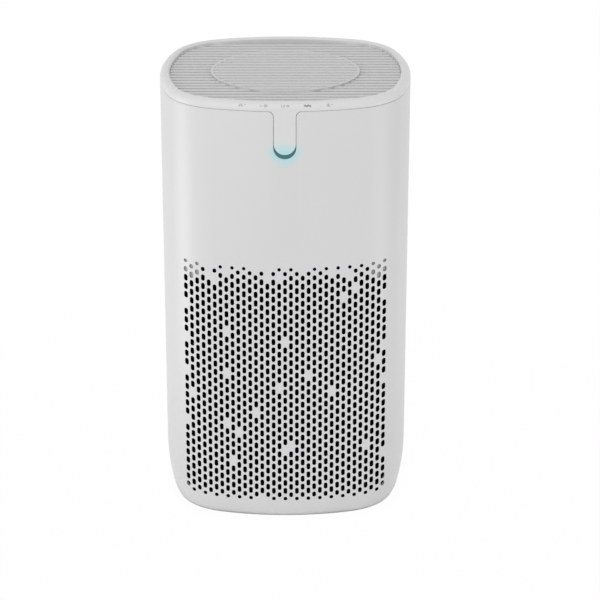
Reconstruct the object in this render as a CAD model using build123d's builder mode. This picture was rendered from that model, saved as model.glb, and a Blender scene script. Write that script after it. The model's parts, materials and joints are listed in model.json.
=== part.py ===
"""Desktop air purifier: squared tower with a perforated lower wall and a slatted outlet on top.

Millimetres, +Z up, the front faces -Y, the floor is Z = 0 and the fan axis is the Z axis.
"""
import os
from math import acos, atan, atan2, cos, degrees, pi, radians, sin, sqrt

from build123d import *

# Overall size
HEIGHT = 370.0
HALF_WIDTH = 105.0
# how far a cut or a joined piece runs past the face it meets
CUT_MARGIN = 1.0

# Plan outline: four shallow side arcs joined by four tangent corner arcs
SIDE_RADIUS = 200.0
CORNER_RADIUS = 57.0
SIDE_OFFSET = SIDE_RADIUS - HALF_WIDTH
# the corner centre (k, k) lies SIDE_RADIUS - CORNER_RADIUS from the side centre (-SIDE_OFFSET, 0)
CORNER_REACH = SIDE_RADIUS - CORNER_RADIUS
CORNER_CENTRE = (sqrt(2 * CORNER_REACH**2 - SIDE_OFFSET**2) - SIDE_OFFSET) / 2
SIDE_HALF_ANGLE = degrees(atan2(CORNER_CENTRE, CORNER_CENTRE + SIDE_OFFSET))

# Shell wall
WALL = 2.4
WALL_TAPER = 2.2
SEAM_Z = 362.6
SEAM_GAP = 0.5
BELLY_TOP_Z = 42.0
BELLY_RADIUS = 150.0
BELLY_END_ANGLE = radians(14.0)
SHELL_BOTTOM_Z = 2.6
LIP_WIDTH = 3.0
FLANGE_Z = 232.0
FLANGE_THICKNESS = 3.0
FLANGE_INSET = 9.0
BOSS_RADIUS = 4.5
BOSS_LENGTH = 12.0
CORNER_SCREW = 72.0

# Perforations: staggered upright slots cut along the mould's pull
HOLE_COLUMNS = 17
HOLE_ROWS = 28
HOLE_PITCH_X = 4.86
HOLE_PITCH_Z = 7.526
HOLE_TOP_Z = 226.9
HOLE_STAGGER = 3.76
HOLE_WIDTH = 2.6
HOLE_LENGTH = 5.0
# the cutters reach between these distances from the middle plane
HOLE_NEAR = 77.5
HOLE_FAR = 110.0
# places in the lattice that are left closed, as (column, row)
CLOSED_HOLES = {
    (-17, 0), (-17, 1), (-17, 5), (-17, 9), (-17, 13), (-17, 19), (-16, 0), (-16, 1), (-16, 15),
    (-15, 0), (-15, 1), (-13, 0), (-13, 1), (-12, 1), (-10, 0), (-10, 7), (-10, 12), (-10, 18),
    (-9, 23), (-8, 19), (-5, 0), (-5, 17), (-3, 0), (-3, 1), (-1, 1), (-1, 14), (0, 8), (0, 21),
    (1, 21), (3, 0), (4, 12), (8, 0), (8, 14), (10, 0), (10, 3), (11, 1), (12, 2), (14, 21),
    (15, 0), (15, 1), (16, 0), (16, 1), (16, 11), (17, 0), (17, 1), (17, 4), (17, 10), (17, 14),
    (17, 23),
}

# Dust net bonded behind the perforations
NET_THICKNESS = 0.8
NET_TOP_Z = 231.0
NET_END_ANGLE = radians(10.4)

# Top rim and its front tongue
RIM_WIDTH = 8.0
RIM_LIP = 1.7
RIM_ROUND = 5.2
RIM_CHAMFER = 1.4
RIM_WALL = 1.8
RIM_SKIRT_Z = 356.0
RIM_SKIRT_INSET = 2.6
RIM_SKIRT_WALL = 1.6
RIM_CEILING_Z = 367.4
RIM_LEDGE_Z = 352.0
RIM_LEDGE_THICKNESS = 2.0
RIM_LEDGE_WIDTH = 2.5
TONGUE_HALF_WIDTH = 9.0
TONGUE_END_CENTRE_Z = 335.2
NOTCH_END_CENTRE_Z = 331.9
TONGUE_GAP = 0.35
NOTCH_SHOULDER = 4.5

# Light guide
GUIDE_RECESS = 0.5
GUIDE_GAP = 0.15
STEM_HALF_WIDTH = 3.0
STEM_LOW_Z = 323.1
STEM_HIGH_Z = 325.4

# Outlet grille
GRILLE_GAP = 0.3
GRILLE_FRAME = 2.0
GRILLE_FRAME_DROP = 4.0
GRILLE_TOP_Z = 366.4
SLAT_COUNT = 22
SLAT_PITCH = 8.2
SLAT_WIDTH = 4.8
SLAT_HEIGHT = 9.0
SLAT_ROUND = 0.8
HUB_RADIUS = 62.5
HUB_RISE = 1.6
HUB_THICKNESS = 3.0
HUB_EDGE = 2.2
GROOVE_DEPTH = 1.0

# Touch strip
STRIP_HALF_ANGLE = 15.0
STRIP_THICKNESS = 0.4
KEY_COUNT = 5
KEY_PITCH = 17.8
KEY_SIZE = (6.2, 1.2, 0.6)

# Control board
BOARD_FRONT_Y = -95.5
BOARD_THICKNESS = 1.6
BOARD_HALF_WIDTH = 46.0
BOARD_LOW_Z = 312.0
BOARD_HIGH_Z = 350.0
BOARD_CORNER = 3.0
BOARD_SCREW_X = 40.0
BOARD_SCREW_LOW_Z = 317.0
BOARD_SCREW_HIGH_Z = 345.0
BOARD_BOSS_RADIUS = 3.0
BOARD_BOSS_LENGTH = 4.1
BOARD_SCREW_RADIUS = 1.2
BOARD_SCREW_DEPTH = 2.0
BOARD_SCREW_HEAD = 1.6
LED_SIZE = (2.0, 1.0, 2.0)
LED_X = (-2.0, 2.0)
CHIP_SIZE = (9.0, 1.4, 9.0)
CHIP_X = -14.0
HEADER_SIZE = (16.0, 5.0, 7.0)
HEADER_WALL = 1.0
HEADER_X = 26.0

# Fan section
PLATE_Z = FLANGE_Z + FLANGE_THICKNESS
PLATE_THICKNESS = 3.0
PLATE_INSET = 4.2
MOUTH_RADIUS = 56.0
MOUTH_WALL = 2.0
MOUTH_ROUND = 2.0
MOUTH_TOP_Z = 248.0
SCREW_RADIUS = 1.75
SCREW_HEAD_RADIUS = 3.4
SCREW_HEAD_HEIGHT = 2.4
DUCT_RADIUS = 90.0
DUCT_WALL = 2.2
DUCT_TOP_Z = 346.0
DUCT_FLANGE_RADIUS = 96.0
DUCT_SCREW_RADIUS = 93.0
DUCT_SCREW_HEAD = 2.4
SCREW_TIP = 2.0
GUARD_RINGS = (20.0, 37.0)
GUARD_BAR = 2.0
GUARD_SPOKES = 6

# Impeller
IMPELLER_LOW_Z = 246.5
IMPELLER_RADIUS = 78.0
SHROUD_BORE = 60.0
SHROUD_THICKNESS = 2.0
BLADE_TOP_Z = 281.0
BLADE_COUNT = 9
BLADE_THICKNESS = 1.8
BLADE_INNER_RADIUS = 50.0
BLADE_OUTER_RADIUS = 76.5
BLADE_SWEEP = 34.0
BLADE_MIDDLE_RADIUS = 64.75
BLADE_MIDDLE_ANGLE = 21.0
HUB_PLATE_THICKNESS = 3.0
BOSS_Z = 268.0
IMPELLER_BOSS_RADIUS = 9.0
SHAFT_RADIUS = 3.0
SHAFT_LOW_Z = 262.0
SHAFT_HIGH_Z = 315.0
SHAFT_CHAMFER = 0.5
SHAFT_HOLE_GAP = 1.0
NUT_FLATS = 10.0
NUT_HEIGHT = 4.0

# Motor
MOTOR_RADIUS = 26.0
MOTOR_WALL = 1.5
MOTOR_LOW_Z = 288.0
MOTOR_LID_Z = 314.0
MOTOR_LID_THICKNESS = 2.0
MOTOR_FLOOR = 2.0
BEARING_RADIUS = 8.0
BEARING_HEIGHT = 5.0
BEARING_CLEARANCE = 0.04
BEARING_BOSS = 10.0
STATOR_LOW_Z = 297.0
STATOR_HIGH_Z = 307.0
STATOR_YOKE = 20.5
TOOTH_COUNT = 9
TOOTH_WIDTH = 4.0
TOOTH_TIP_RADIUS = 13.0
TOOTH_ROOT = 0.5
COIL_INNER_RADIUS = 14.2
COIL_OUTER_RADIUS = 19.6
COIL_THICKNESS = 1.1
MAGNET_RADIUS = 12.5
DAMPER_RADIUS = 4.0
DAMPER_HEIGHT = 2.0
MOTOR_SCREW_RADIUS = 1.6
MOTOR_SCREW_CIRCLE = 19.0
MOTOR_SCREWS = 3
MOUNT_THICKNESS = 3.0
MOUNT_RADIUS = 32.0
MOUNT_RING = 2.0
VANE_COUNT = 7
VANE_THICKNESS = 2.0
VANE_LOW_Z = 294.0

# Base ring and its quick-turn cover
BASE_LOW_Z = 0.8
BASE_PLATE = 3.0
BASE_SKIRT_INSET = 14.7
BASE_SKIRT_WALL = 2.3
BASE_FLANGE_INSET = 12.0
BASE_FLANGE_TOP_Z = 8.0
COLLAR_RADIUS = 83.4
COLLAR_TOP_Z = 13.0
COVER_RADIUS = 77.0
COVER_GAP = 0.6
COVER_LOW_Z = 2.0
COVER_THICKNESS = 3.0
COVER_WALL_RADIUS = 76.4
COVER_WALL = 3.6
COVER_TOP_Z = 14.0
LUG_COUNT = 3
LUG_REACH = 80.0
LUG_LOW_Z = 8.0
LUG_HIGH_Z = 11.0
LUG_ANGLE = 14.0
LUG_CLEARANCE = 0.4
TURN_RANGE = 30.0
STOP_ANGLE = 6.0
COVER_EDGE_ROUND = 1.0
GRIP_RADIUS = 34.0
GRIP_BAR = 14.0
GRIP_DEPTH = 8.0
GRIP_WALL = 2.0
FOOT_RADIUS = 8.0
FOOT_HEIGHT = 2.4
FOOT_PLACE = 64.0
FOOT_ROUND = 0.5

# Filter cartridge
FILTER_RADIUS = 74.0
CAP_THICKNESS = 4.0
CAP_BORE = 49.0
FILTER_LOW_Z = COVER_TOP_Z
FILTER_CAP_Z = 226.0
SLEEVE_WALL = 0.8
PLEAT_COUNT = 60
PLEAT_OUTER = 72.6
PLEAT_INNER = 56.4
PLEAT_DEPTH = 4.0
CORE_RADIUS = 51.5
CORE_WALL = 2.5
GASKET_INNER = 58.0
GASKET_OUTER = 70.0
GASKET_CLEARANCE = 0.3

# Power jack on the rear of the base
JACK_SIZE = (12.0, 10.6, 10.0)
JACK_GAP = 0.6
JACK_Y = 84.2
JACK_SEAT_Z = 6.0
JACK_SEAT_DEPTH = 5.8
JACK_NOSE_RADIUS = 4.4
JACK_NOSE_LENGTH = 4.0
JACK_BORE = 2.75
JACK_DEPTH = 9.0
JACK_PIN_RADIUS = 1.0
JACK_PIN_LENGTH = 8.0
JACK_PIN_ROUND = 0.4
JACK_HOLE_RADIUS = 4.8
JACK_Z = JACK_SEAT_Z + JACK_SIZE[2] / 2

os.makedirs("parts", exist_ok=True)

LOW = (Align.CENTER, Align.CENTER, Align.MIN)
UP = Vector(0, 0, 1)
LEAN = atan(WALL_TAPER / HEIGHT)

# Centres of the belly arc and of the toe arc below it, as (inset, z)
BELLY_START = (WALL_TAPER * (HEIGHT - BELLY_TOP_Z) / HEIGHT, BELLY_TOP_Z)
BELLY_CENTRE = (
    BELLY_START[0] + BELLY_RADIUS * cos(LEAN),
    BELLY_START[1] + BELLY_RADIUS * sin(LEAN),
)
BELLY_END_Z = BELLY_CENTRE[1] - BELLY_RADIUS * sin(BELLY_END_ANGLE)
TOE_RADIUS = (BELLY_END_Z - SHELL_BOTTOM_Z) / (1 - sin(BELLY_END_ANGLE))
TOE_CENTRE = (
    BELLY_CENTRE[0] - (BELLY_RADIUS - TOE_RADIUS) * cos(BELLY_END_ANGLE),
    SHELL_BOTTOM_Z + TOE_RADIUS,
)
LIP_INSET = TOE_CENTRE[0] + LIP_WIDTH

# Plan arcs of the front half, then of the rear half: centre, radius, start angle, sweep
SIDE = SIDE_HALF_ANGLE
TURN = 90.0 - 2 * SIDE
FRONT_ARCS = (
    ((SIDE_OFFSET, 0.0), SIDE_RADIUS, 180.0, SIDE),
    ((-CORNER_CENTRE, -CORNER_CENTRE), CORNER_RADIUS, 180.0 + SIDE, TURN),
    ((0.0, SIDE_OFFSET), SIDE_RADIUS, 270.0 - SIDE, 2 * SIDE),
    ((CORNER_CENTRE, -CORNER_CENTRE), CORNER_RADIUS, 270.0 + SIDE, TURN),
    ((-SIDE_OFFSET, 0.0), SIDE_RADIUS, 360.0 - SIDE, SIDE),
)
REAR_ARCS = (
    ((-SIDE_OFFSET, 0.0), SIDE_RADIUS, 0.0, SIDE),
    ((CORNER_CENTRE, CORNER_CENTRE), CORNER_RADIUS, SIDE, TURN),
    ((0.0, -SIDE_OFFSET), SIDE_RADIUS, 90.0 - SIDE, 2 * SIDE),
    ((-CORNER_CENTRE, CORNER_CENTRE), CORNER_RADIUS, 90.0 + SIDE, TURN),
    ((SIDE_OFFSET, 0.0), SIDE_RADIUS, 180.0 - SIDE, SIDE),
)
NET_ARCS = FRONT_ARCS[1:4]
TONGUE_ARCS = (((0.0, SIDE_OFFSET), SIDE_RADIUS, 266.0, 8.0),)
STRIP_ARCS = (((0.0, SIDE_OFFSET), SIDE_RADIUS, 270.0 - STRIP_HALF_ANGLE, 2 * STRIP_HALF_ANGLE),)


def polar(radius, angle, z=0.0):
    """Returns the point at a radius and an angle in degrees."""
    return Vector(radius * cos(radians(angle)), radius * sin(radians(angle)), z)


def plan_face(inset):
    """Returns the plan outline moved inwards by inset, as one face."""
    with BuildSketch() as plan:
        with BuildLine():
            for centre, radius, start, sweep in FRONT_ARCS + REAR_ARCS:
                CenterArc(centre, radius - inset, start, sweep)
        make_face()
    return plan.sketch


def plan_ring(outer_inset, inner_inset):
    """Returns the band of the plan between two insets."""
    with BuildSketch() as ring:
        add(plan_face(outer_inset))
        add(plan_face(inner_inset), mode=Mode.SUBTRACT)
    return ring.sketch


def wall_sector(section, arcs):
    """Revolves a wall section, given as inset and height, round each plan arc."""
    with BuildPart() as sector:
        for centre, radius, start, sweep in arcs:
            radial = polar(1.0, start)
            with BuildSketch(Plane(centre + (0.0,), x_dir=radial, z_dir=radial.cross(UP))):
                add(section(radius))
            revolve(axis=Axis(centre + (0.0,), UP), revolution_arc=sweep)
    return sector.part


def on_lean(depth, z, radius):
    """Returns the section point at a depth under the leaning wall."""
    return (radius - WALL_TAPER * (HEIGHT - z) / HEIGHT - depth / cos(LEAN), z)


def on_arc(centre, arc_radius, depth, angle, radius):
    """Returns the section point at a depth under an arc of the lower wall."""
    reach = arc_radius - depth
    return (radius - centre[0] + reach * cos(angle), centre[1] - reach * sin(angle))


def arc_points(centre, arc_radius, depth, start, end, radius):
    """Returns start, middle and end points of an arc of the lower wall."""
    angles = (start, (start + end) / 2, end)
    return [on_arc(centre, arc_radius, depth, a, radius) for a in angles]


def shell_section(radius):
    """Returns the section of the outer wall, with its rolled-in toe and lip."""
    belly = BELLY_CENTRE, BELLY_RADIUS
    toe = TOE_CENTRE, TOE_RADIUS
    with BuildSketch() as section:
        with BuildLine():
            Line(on_lean(0.0, SEAM_Z, radius), on_arc(*belly, 0.0, LEAN, radius))
            ThreePointArc(*arc_points(*belly, 0.0, LEAN, BELLY_END_ANGLE, radius))
            ThreePointArc(*arc_points(*toe, 0.0, BELLY_END_ANGLE, pi / 2, radius))
            Polyline(
                on_arc(*toe, 0.0, pi / 2, radius),
                (radius - LIP_INSET, SHELL_BOTTOM_Z),
                (radius - LIP_INSET, SHELL_BOTTOM_Z + WALL),
                on_arc(*toe, WALL, pi / 2, radius),
            )
            ThreePointArc(*arc_points(*toe, WALL, pi / 2, BELLY_END_ANGLE, radius))
            ThreePointArc(*arc_points(*belly, WALL, BELLY_END_ANGLE, LEAN, radius))
            Polyline(
                on_arc(*belly, WALL, LEAN, radius),
                on_lean(WALL, SEAM_Z, radius),
                on_lean(0.0, SEAM_Z, radius),
            )
        make_face()
    return section.sketch


def net_section(radius):
    """Returns the section of the dust net that lies on the inner face of the wall."""
    belly = BELLY_CENTRE, BELLY_RADIUS
    far = WALL + NET_THICKNESS
    with BuildSketch() as section:
        with BuildLine():
            Line(on_lean(WALL, NET_TOP_Z, radius), on_arc(*belly, WALL, LEAN, radius))
            ThreePointArc(*arc_points(*belly, WALL, LEAN, NET_END_ANGLE, radius))
            Line(on_arc(*belly, WALL, NET_END_ANGLE, radius), on_arc(*belly, far, NET_END_ANGLE, radius))
            ThreePointArc(*arc_points(*belly, far, NET_END_ANGLE, LEAN, radius))
            Polyline(
                on_arc(*belly, far, LEAN, radius),
                on_lean(far, NET_TOP_Z, radius),
                on_lean(WALL, NET_TOP_Z, radius),
            )
        make_face()
    return section.sketch


def panel_section(near, far, low, high):
    """Returns a function that draws a strip of wall between two depths and two heights."""

    def section(radius):
        corners = ((near, low), (far, low), (far, high), (near, high))
        with BuildSketch() as strip:
            with BuildLine():
                Polyline(*[on_lean(depth, z, radius) for depth, z in corners], close=True)
            make_face()
        return strip.sketch

    return section


def rim_section(radius):
    """Returns the section of the top rim: rounded cap, inner wall with a ledge and locating skirt."""
    crown = HEIGHT - RIM_ROUND
    ledge_top = RIM_LEDGE_Z + RIM_LEDGE_THICKNESS
    skirt_far = RIM_SKIRT_INSET + RIM_SKIRT_WALL
    channel_far = RIM_WIDTH - RIM_WALL
    bend = RIM_ROUND * (1 - cos(pi / 4))
    with BuildSketch() as section:
        with BuildLine():
            Line((radius, SEAM_Z + SEAM_GAP), (radius, crown))
            ThreePointArc((radius, crown), (radius - bend, HEIGHT - bend), (radius - RIM_ROUND, HEIGHT))
            Polyline(
                (radius - RIM_ROUND, HEIGHT),
                (radius - RIM_WIDTH + RIM_CHAMFER, HEIGHT),
                (radius - RIM_WIDTH, HEIGHT - RIM_CHAMFER),
                (radius - RIM_WIDTH, ledge_top),
                (radius - RIM_WIDTH - RIM_LEDGE_WIDTH, ledge_top),
                (radius - RIM_WIDTH - RIM_LEDGE_WIDTH, RIM_LEDGE_Z),
                (radius - channel_far, RIM_LEDGE_Z),
                (radius - channel_far, RIM_CEILING_Z),
                (radius - skirt_far, RIM_CEILING_Z),
                (radius - skirt_far, RIM_SKIRT_Z),
                (radius - RIM_SKIRT_INSET, RIM_SKIRT_Z),
                (radius - RIM_SKIRT_INSET, SEAM_Z),
                (radius - SEAM_GAP * 2, SEAM_Z),
                (radius - SEAM_GAP * 2, SEAM_Z + SEAM_GAP),
                (radius, SEAM_Z + SEAM_GAP),
            )
        make_face()
    return section.sketch


def tab_outline(half_width, end_centre, top, shoulder=0.0):
    """Returns an upright tab with a round lower end, with concave shoulders at its top if asked."""
    with BuildSketch() as outline:
        with BuildLine():
            Line((-half_width, top), (half_width, top))
            Line((half_width, top), (half_width, end_centre))
            ThreePointArc((half_width, end_centre), (0.0, end_centre - half_width), (-half_width, end_centre))
            Line((-half_width, end_centre), (-half_width, top))
        make_face()
        if shoulder:
            for side in (-1, 1):
                with Locations((side * (half_width + shoulder / 2), top - shoulder / 2)):
                    Rectangle(shoulder, shoulder)
                with Locations((side * (half_width + shoulder), top - shoulder)):
                    Circle(shoulder, mode=Mode.SUBTRACT)
    return outline.sketch


def front_prism(outline):
    """Returns a front view outline drawn out along -Y, past the front wall."""
    with BuildPart() as prism:
        with BuildSketch(Plane.XZ):
            add(outline)
        extrude(amount=HALF_WIDTH + WALL)
    return prism.part


def ring_slot(radius, inner, start, sweep):
    """Returns a ring sector between two radii, from a start angle over a sweep."""
    with BuildSketch() as sector:
        with BuildLine():
            CenterArc((0, 0), radius, start, sweep)
            Line(polar(radius, start + sweep), polar(inner, start + sweep))
            CenterArc((0, 0), inner, start + sweep, -sweep)
            Line(polar(inner, start), polar(radius, start))
        make_face()
    return sector.sketch


def finish(part, name):
    """Labels a sub-part and writes its STEP file."""
    part.label = name
    export_step(part, f"parts/{name}.step", write_pcurves=False)


# Perforated shells: every other feature is made first, and the holes are cut last
hole_places = []
dot_places = []
for column in range(-HOLE_COLUMNS, HOLE_COLUMNS + 1):
    column_top = HOLE_TOP_Z - (0.0 if column % 2 else HOLE_STAGGER)
    for row in range(HOLE_ROWS):
        if (column, row) not in CLOSED_HOLES:
            place = (column * HOLE_PITCH_X, column_top - row * HOLE_PITCH_Z)
            (dot_places if row in (0, HOLE_ROWS - 1) else hole_places).append(place)


def shell_blank(arcs, side):
    """Returns a half shell with its flange and screw bosses; side is -1 for the front, 1 for the rear."""
    screws = [(x, side * CORNER_SCREW) for x in (-CORNER_SCREW, CORNER_SCREW)]
    with BuildPart() as blank:
        add(wall_sector(shell_section, arcs))
        with BuildSketch(Plane.XY.offset(FLANGE_Z)):
            add(plan_ring(WALL, FLANGE_INSET))
            with Locations((0, -side * HALF_WIDTH)):
                Rectangle(4 * HALF_WIDTH, 2 * HALF_WIDTH, mode=Mode.SUBTRACT)
        extrude(amount=FLANGE_THICKNESS)
        with Locations(*[(x, y, FLANGE_Z - BOSS_LENGTH) for x, y in screws]):
            Cylinder(BOSS_RADIUS, BOSS_LENGTH + FLANGE_THICKNESS, align=LOW)
        with Locations(*[(x, y, FLANGE_Z + FLANGE_THICKNESS - BOSS_LENGTH) for x, y in screws]):
            Cylinder(SCREW_RADIUS, BOSS_LENGTH, align=LOW, mode=Mode.SUBTRACT)
    return blank.part


def hole_centres(places, side):
    """Returns the centres of the cutters for a list of lattice places."""
    middle = side * (HOLE_NEAR + HOLE_FAR) / 2
    return [(x, middle, z) for x, z in places]


notch = tab_outline(TONGUE_HALF_WIDTH + TONGUE_GAP, NOTCH_END_CENTRE_Z, SEAM_Z, NOTCH_SHOULDER)
board_screws = [
    (x, z)
    for x in (-BOARD_SCREW_X, BOARD_SCREW_X)
    for z in (BOARD_SCREW_LOW_Z, BOARD_SCREW_HIGH_Z)
]
boss_plane = Plane((0, BOARD_FRONT_Y, 0), x_dir=(1, 0, 0), z_dir=(0, -1, 0))
hole_depth = HOLE_FAR - HOLE_NEAR
with BuildPart() as front_shell:
    add(shell_blank(FRONT_ARCS, -1))
    add(front_prism(notch), mode=Mode.SUBTRACT)
    with BuildSketch(boss_plane):
        with Locations(*board_screws):
            Circle(BOARD_BOSS_RADIUS)
    extrude(amount=BOARD_BOSS_LENGTH)
    with BuildSketch(boss_plane):
        with Locations(*board_screws):
            Circle(BOARD_SCREW_RADIUS)
    extrude(amount=BOARD_SCREW_DEPTH, mode=Mode.SUBTRACT)
    with Locations(*hole_centres(dot_places, -1)):
        Box(HOLE_WIDTH, hole_depth, HOLE_WIDTH, mode=Mode.SUBTRACT)
    with Locations(*hole_centres(hole_places, -1)):
        Box(HOLE_WIDTH, hole_depth, HOLE_LENGTH, mode=Mode.SUBTRACT)
finish(front_shell.part, "front_shell")

jack_hole_plane = Plane((0, HALF_WIDTH, 0), x_dir=(-1, 0, 0), z_dir=(0, 1, 0))
with BuildPart() as rear_shell:
    add(shell_blank(REAR_ARCS, 1))
    with BuildSketch(jack_hole_plane):
        with Locations((0, JACK_Z)):
            Circle(JACK_HOLE_RADIUS)
    extrude(amount=JACK_Y - HALF_WIDTH, mode=Mode.SUBTRACT)
    with Locations(*hole_centres(dot_places, 1)):
        Box(HOLE_WIDTH, hole_depth, HOLE_WIDTH, mode=Mode.SUBTRACT)
    with Locations(*hole_centres(hole_places, 1)):
        Box(HOLE_WIDTH, hole_depth, HOLE_LENGTH, mode=Mode.SUBTRACT)
finish(rear_shell.part, "rear_shell")

# Dust nets
with BuildPart() as dust_net_front:
    add(wall_sector(net_section, NET_ARCS))
finish(dust_net_front.part, "dust_net_front")

with BuildPart() as dust_net_rear:
    add(mirror(dust_net_front.part, about=Plane.XZ))
finish(dust_net_rear.part, "dust_net_rear")

# Top rim with the tongue that runs down the front
tongue_face = tab_outline(
    TONGUE_HALF_WIDTH, TONGUE_END_CENTRE_Z, SEAM_Z + SEAM_GAP, NOTCH_SHOULDER + TONGUE_GAP
)
tongue_low = TONGUE_END_CENTRE_Z - TONGUE_HALF_WIDTH
with BuildPart() as tongue:
    add(wall_sector(panel_section(0.0, WALL, tongue_low - WALL, SEAM_Z + RIM_LIP), TONGUE_ARCS))
    add(front_prism(tongue_face), mode=Mode.INTERSECT)
with BuildPart() as top_rim:
    add(wall_sector(rim_section, FRONT_ARCS + REAR_ARCS))
    add(tongue.part)
finish(top_rim.part, "top_rim")

# Crescent light guide under the tongue
tongue_clear = tab_outline(TONGUE_HALF_WIDTH + TONGUE_GAP, TONGUE_END_CENTRE_Z, SEAM_Z)
guide_face = tab_outline(
    TONGUE_HALF_WIDTH + TONGUE_GAP - GUIDE_GAP, NOTCH_END_CENTRE_Z, TONGUE_END_CENTRE_Z
)
guide_low = NOTCH_END_CENTRE_Z - TONGUE_HALF_WIDTH - WALL
led_front = BOARD_FRONT_Y - LED_SIZE[1]
with BuildPart() as light_guide:
    add(wall_sector(panel_section(GUIDE_RECESS, WALL, guide_low, TONGUE_END_CENTRE_Z), TONGUE_ARCS))
    add(front_prism(guide_face), mode=Mode.INTERSECT)
    add(front_prism(tongue_clear), mode=Mode.SUBTRACT)
    with BuildSketch(Plane((0, led_front, 0), x_dir=(1, 0, 0), z_dir=(0, -1, 0))):
        with Locations((0, (STEM_LOW_Z + STEM_HIGH_Z) / 2)):
            Rectangle(2 * STEM_HALF_WIDTH, STEM_HIGH_Z - STEM_LOW_Z)
    extrude(amount=HALF_WIDTH + led_front - WALL)
finish(light_guide.part, "light_guide")

# Outlet grille: frame, round-topped slats and a raised, grooved centre in one moulding
grille_inset = RIM_WIDTH + GRILLE_GAP
grille_low = RIM_LEDGE_Z + RIM_LEDGE_THICKNESS
slat_middle = GRILLE_TOP_Z - SLAT_HEIGHT / 2
slat_places = [(n - (SLAT_COUNT - 1) / 2) * SLAT_PITCH for n in range(SLAT_COUNT)]
groove_places = [(before + after) / 2 for before, after in zip(slat_places, slat_places[1:])]
hub_top = GRILLE_TOP_Z + HUB_RISE
with BuildPart() as outlet_grille:
    with BuildSketch(Plane.YZ) as slat_ends:
        with Locations(*[(y, slat_middle) for y in slat_places]):
            Rectangle(SLAT_WIDTH, SLAT_HEIGHT)
        fillet(slat_ends.vertices().group_by(Axis.Y)[-1], SLAT_ROUND)
    extrude(amount=2 * HALF_WIDTH, both=True)
    with BuildSketch(Plane.XY.offset(grille_low)):
        add(plan_face(grille_inset))
    extrude(amount=HEIGHT - grille_low, mode=Mode.INTERSECT)
    with BuildSketch(Plane.XY.offset(grille_low)):
        add(plan_ring(grille_inset, grille_inset + GRILLE_FRAME))
    extrude(amount=GRILLE_TOP_Z - GRILLE_FRAME_DROP - grille_low)
    with Locations((0, 0, hub_top - HUB_THICKNESS)):
        Cylinder(HUB_RADIUS, HUB_THICKNESS, align=LOW)
    with BuildSketch(Plane.XY.offset(hub_top)):
        with Locations(*[(0, y) for y in groove_places if abs(y) < HUB_RADIUS - HUB_EDGE]):
            Rectangle(2 * HUB_RADIUS, SLAT_PITCH - SLAT_WIDTH)
        Circle(HUB_RADIUS - HUB_EDGE, mode=Mode.INTERSECT)
    extrude(amount=-GROOVE_DEPTH, mode=Mode.SUBTRACT)
finish(outlet_grille.part, "outlet_grille")

# Touch strip under the front of the rim, with five electrodes
channel_middle = (RIM_SKIRT_INSET + RIM_SKIRT_WALL + RIM_WIDTH - RIM_WALL) / 2


def strip_section(radius):
    """Returns the section of the flexible strip bonded under the rim."""
    with BuildSketch() as section:
        with Locations((radius - channel_middle, RIM_CEILING_Z - STRIP_THICKNESS / 2)):
            Rectangle(KEY_SIZE[1] + STRIP_THICKNESS, STRIP_THICKNESS)
    return section.sketch


with BuildPart() as touch_strip:
    add(wall_sector(strip_section, STRIP_ARCS))
finish(touch_strip.part, "touch_strip")

key_radius = SIDE_RADIUS - channel_middle
with BuildPart() as touch_electrodes:
    for key in range(KEY_COUNT):
        key_x = (key - (KEY_COUNT - 1) / 2) * KEY_PITCH
        key_turn = degrees(acos(key_x / key_radius))
        key_y = SIDE_OFFSET - key_radius * sin(radians(key_turn))
        with Locations(Location((key_x, key_y, RIM_CEILING_Z - STRIP_THICKNESS), (0, 0, 90.0 - key_turn))):
            Box(*KEY_SIZE, align=(Align.CENTER, Align.CENTER, Align.MAX))
finish(touch_electrodes.part, "touch_electrodes")

# Control board behind the tongue
board_plane = Plane((0, BOARD_FRONT_Y, 0), x_dir=(-1, 0, 0), z_dir=(0, 1, 0))
board_back = BOARD_FRONT_Y + BOARD_THICKNESS
back_plane = Plane((0, board_back, 0), x_dir=(-1, 0, 0), z_dir=(0, 1, 0))
board_middle = (BOARD_LOW_Z + BOARD_HIGH_Z) / 2
with BuildPart() as control_board:
    with BuildSketch(board_plane):
        with Locations((0, board_middle)):
            RectangleRounded(2 * BOARD_HALF_WIDTH, BOARD_HIGH_Z - BOARD_LOW_Z, BOARD_CORNER)
        with Locations(*board_screws):
            Circle(BOARD_SCREW_RADIUS, mode=Mode.SUBTRACT)
    extrude(amount=BOARD_THICKNESS)
finish(control_board.part, "control_board")

with BuildPart() as board_screw_set:
    with BuildSketch(back_plane):
        with Locations(*board_screws):
            Circle(2 * BOARD_SCREW_RADIUS)
    extrude(amount=BOARD_SCREW_HEAD)
    with BuildSketch(back_plane):
        with Locations(*board_screws):
            Circle(BOARD_SCREW_RADIUS)
    extrude(amount=-BOARD_THICKNESS - BOARD_SCREW_DEPTH)
finish(board_screw_set.part, "board_screws")

with BuildPart() as status_leds:
    with Locations(*[(x, BOARD_FRONT_Y, (STEM_LOW_Z + STEM_HIGH_Z) / 2) for x in LED_X]):
        Box(*LED_SIZE, align=(Align.CENTER, Align.MAX, Align.CENTER))
finish(status_leds.part, "status_leds")

# Controller chip and plug header on the back of the board
header_z = BOARD_LOW_Z + HEADER_SIZE[2]
with BuildPart() as controller_chip:
    with Locations((CHIP_X, board_back, board_middle)):
        Box(*CHIP_SIZE, align=(Align.CENTER, Align.MIN, Align.CENTER))
finish(controller_chip.part, "controller_chip")

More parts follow.
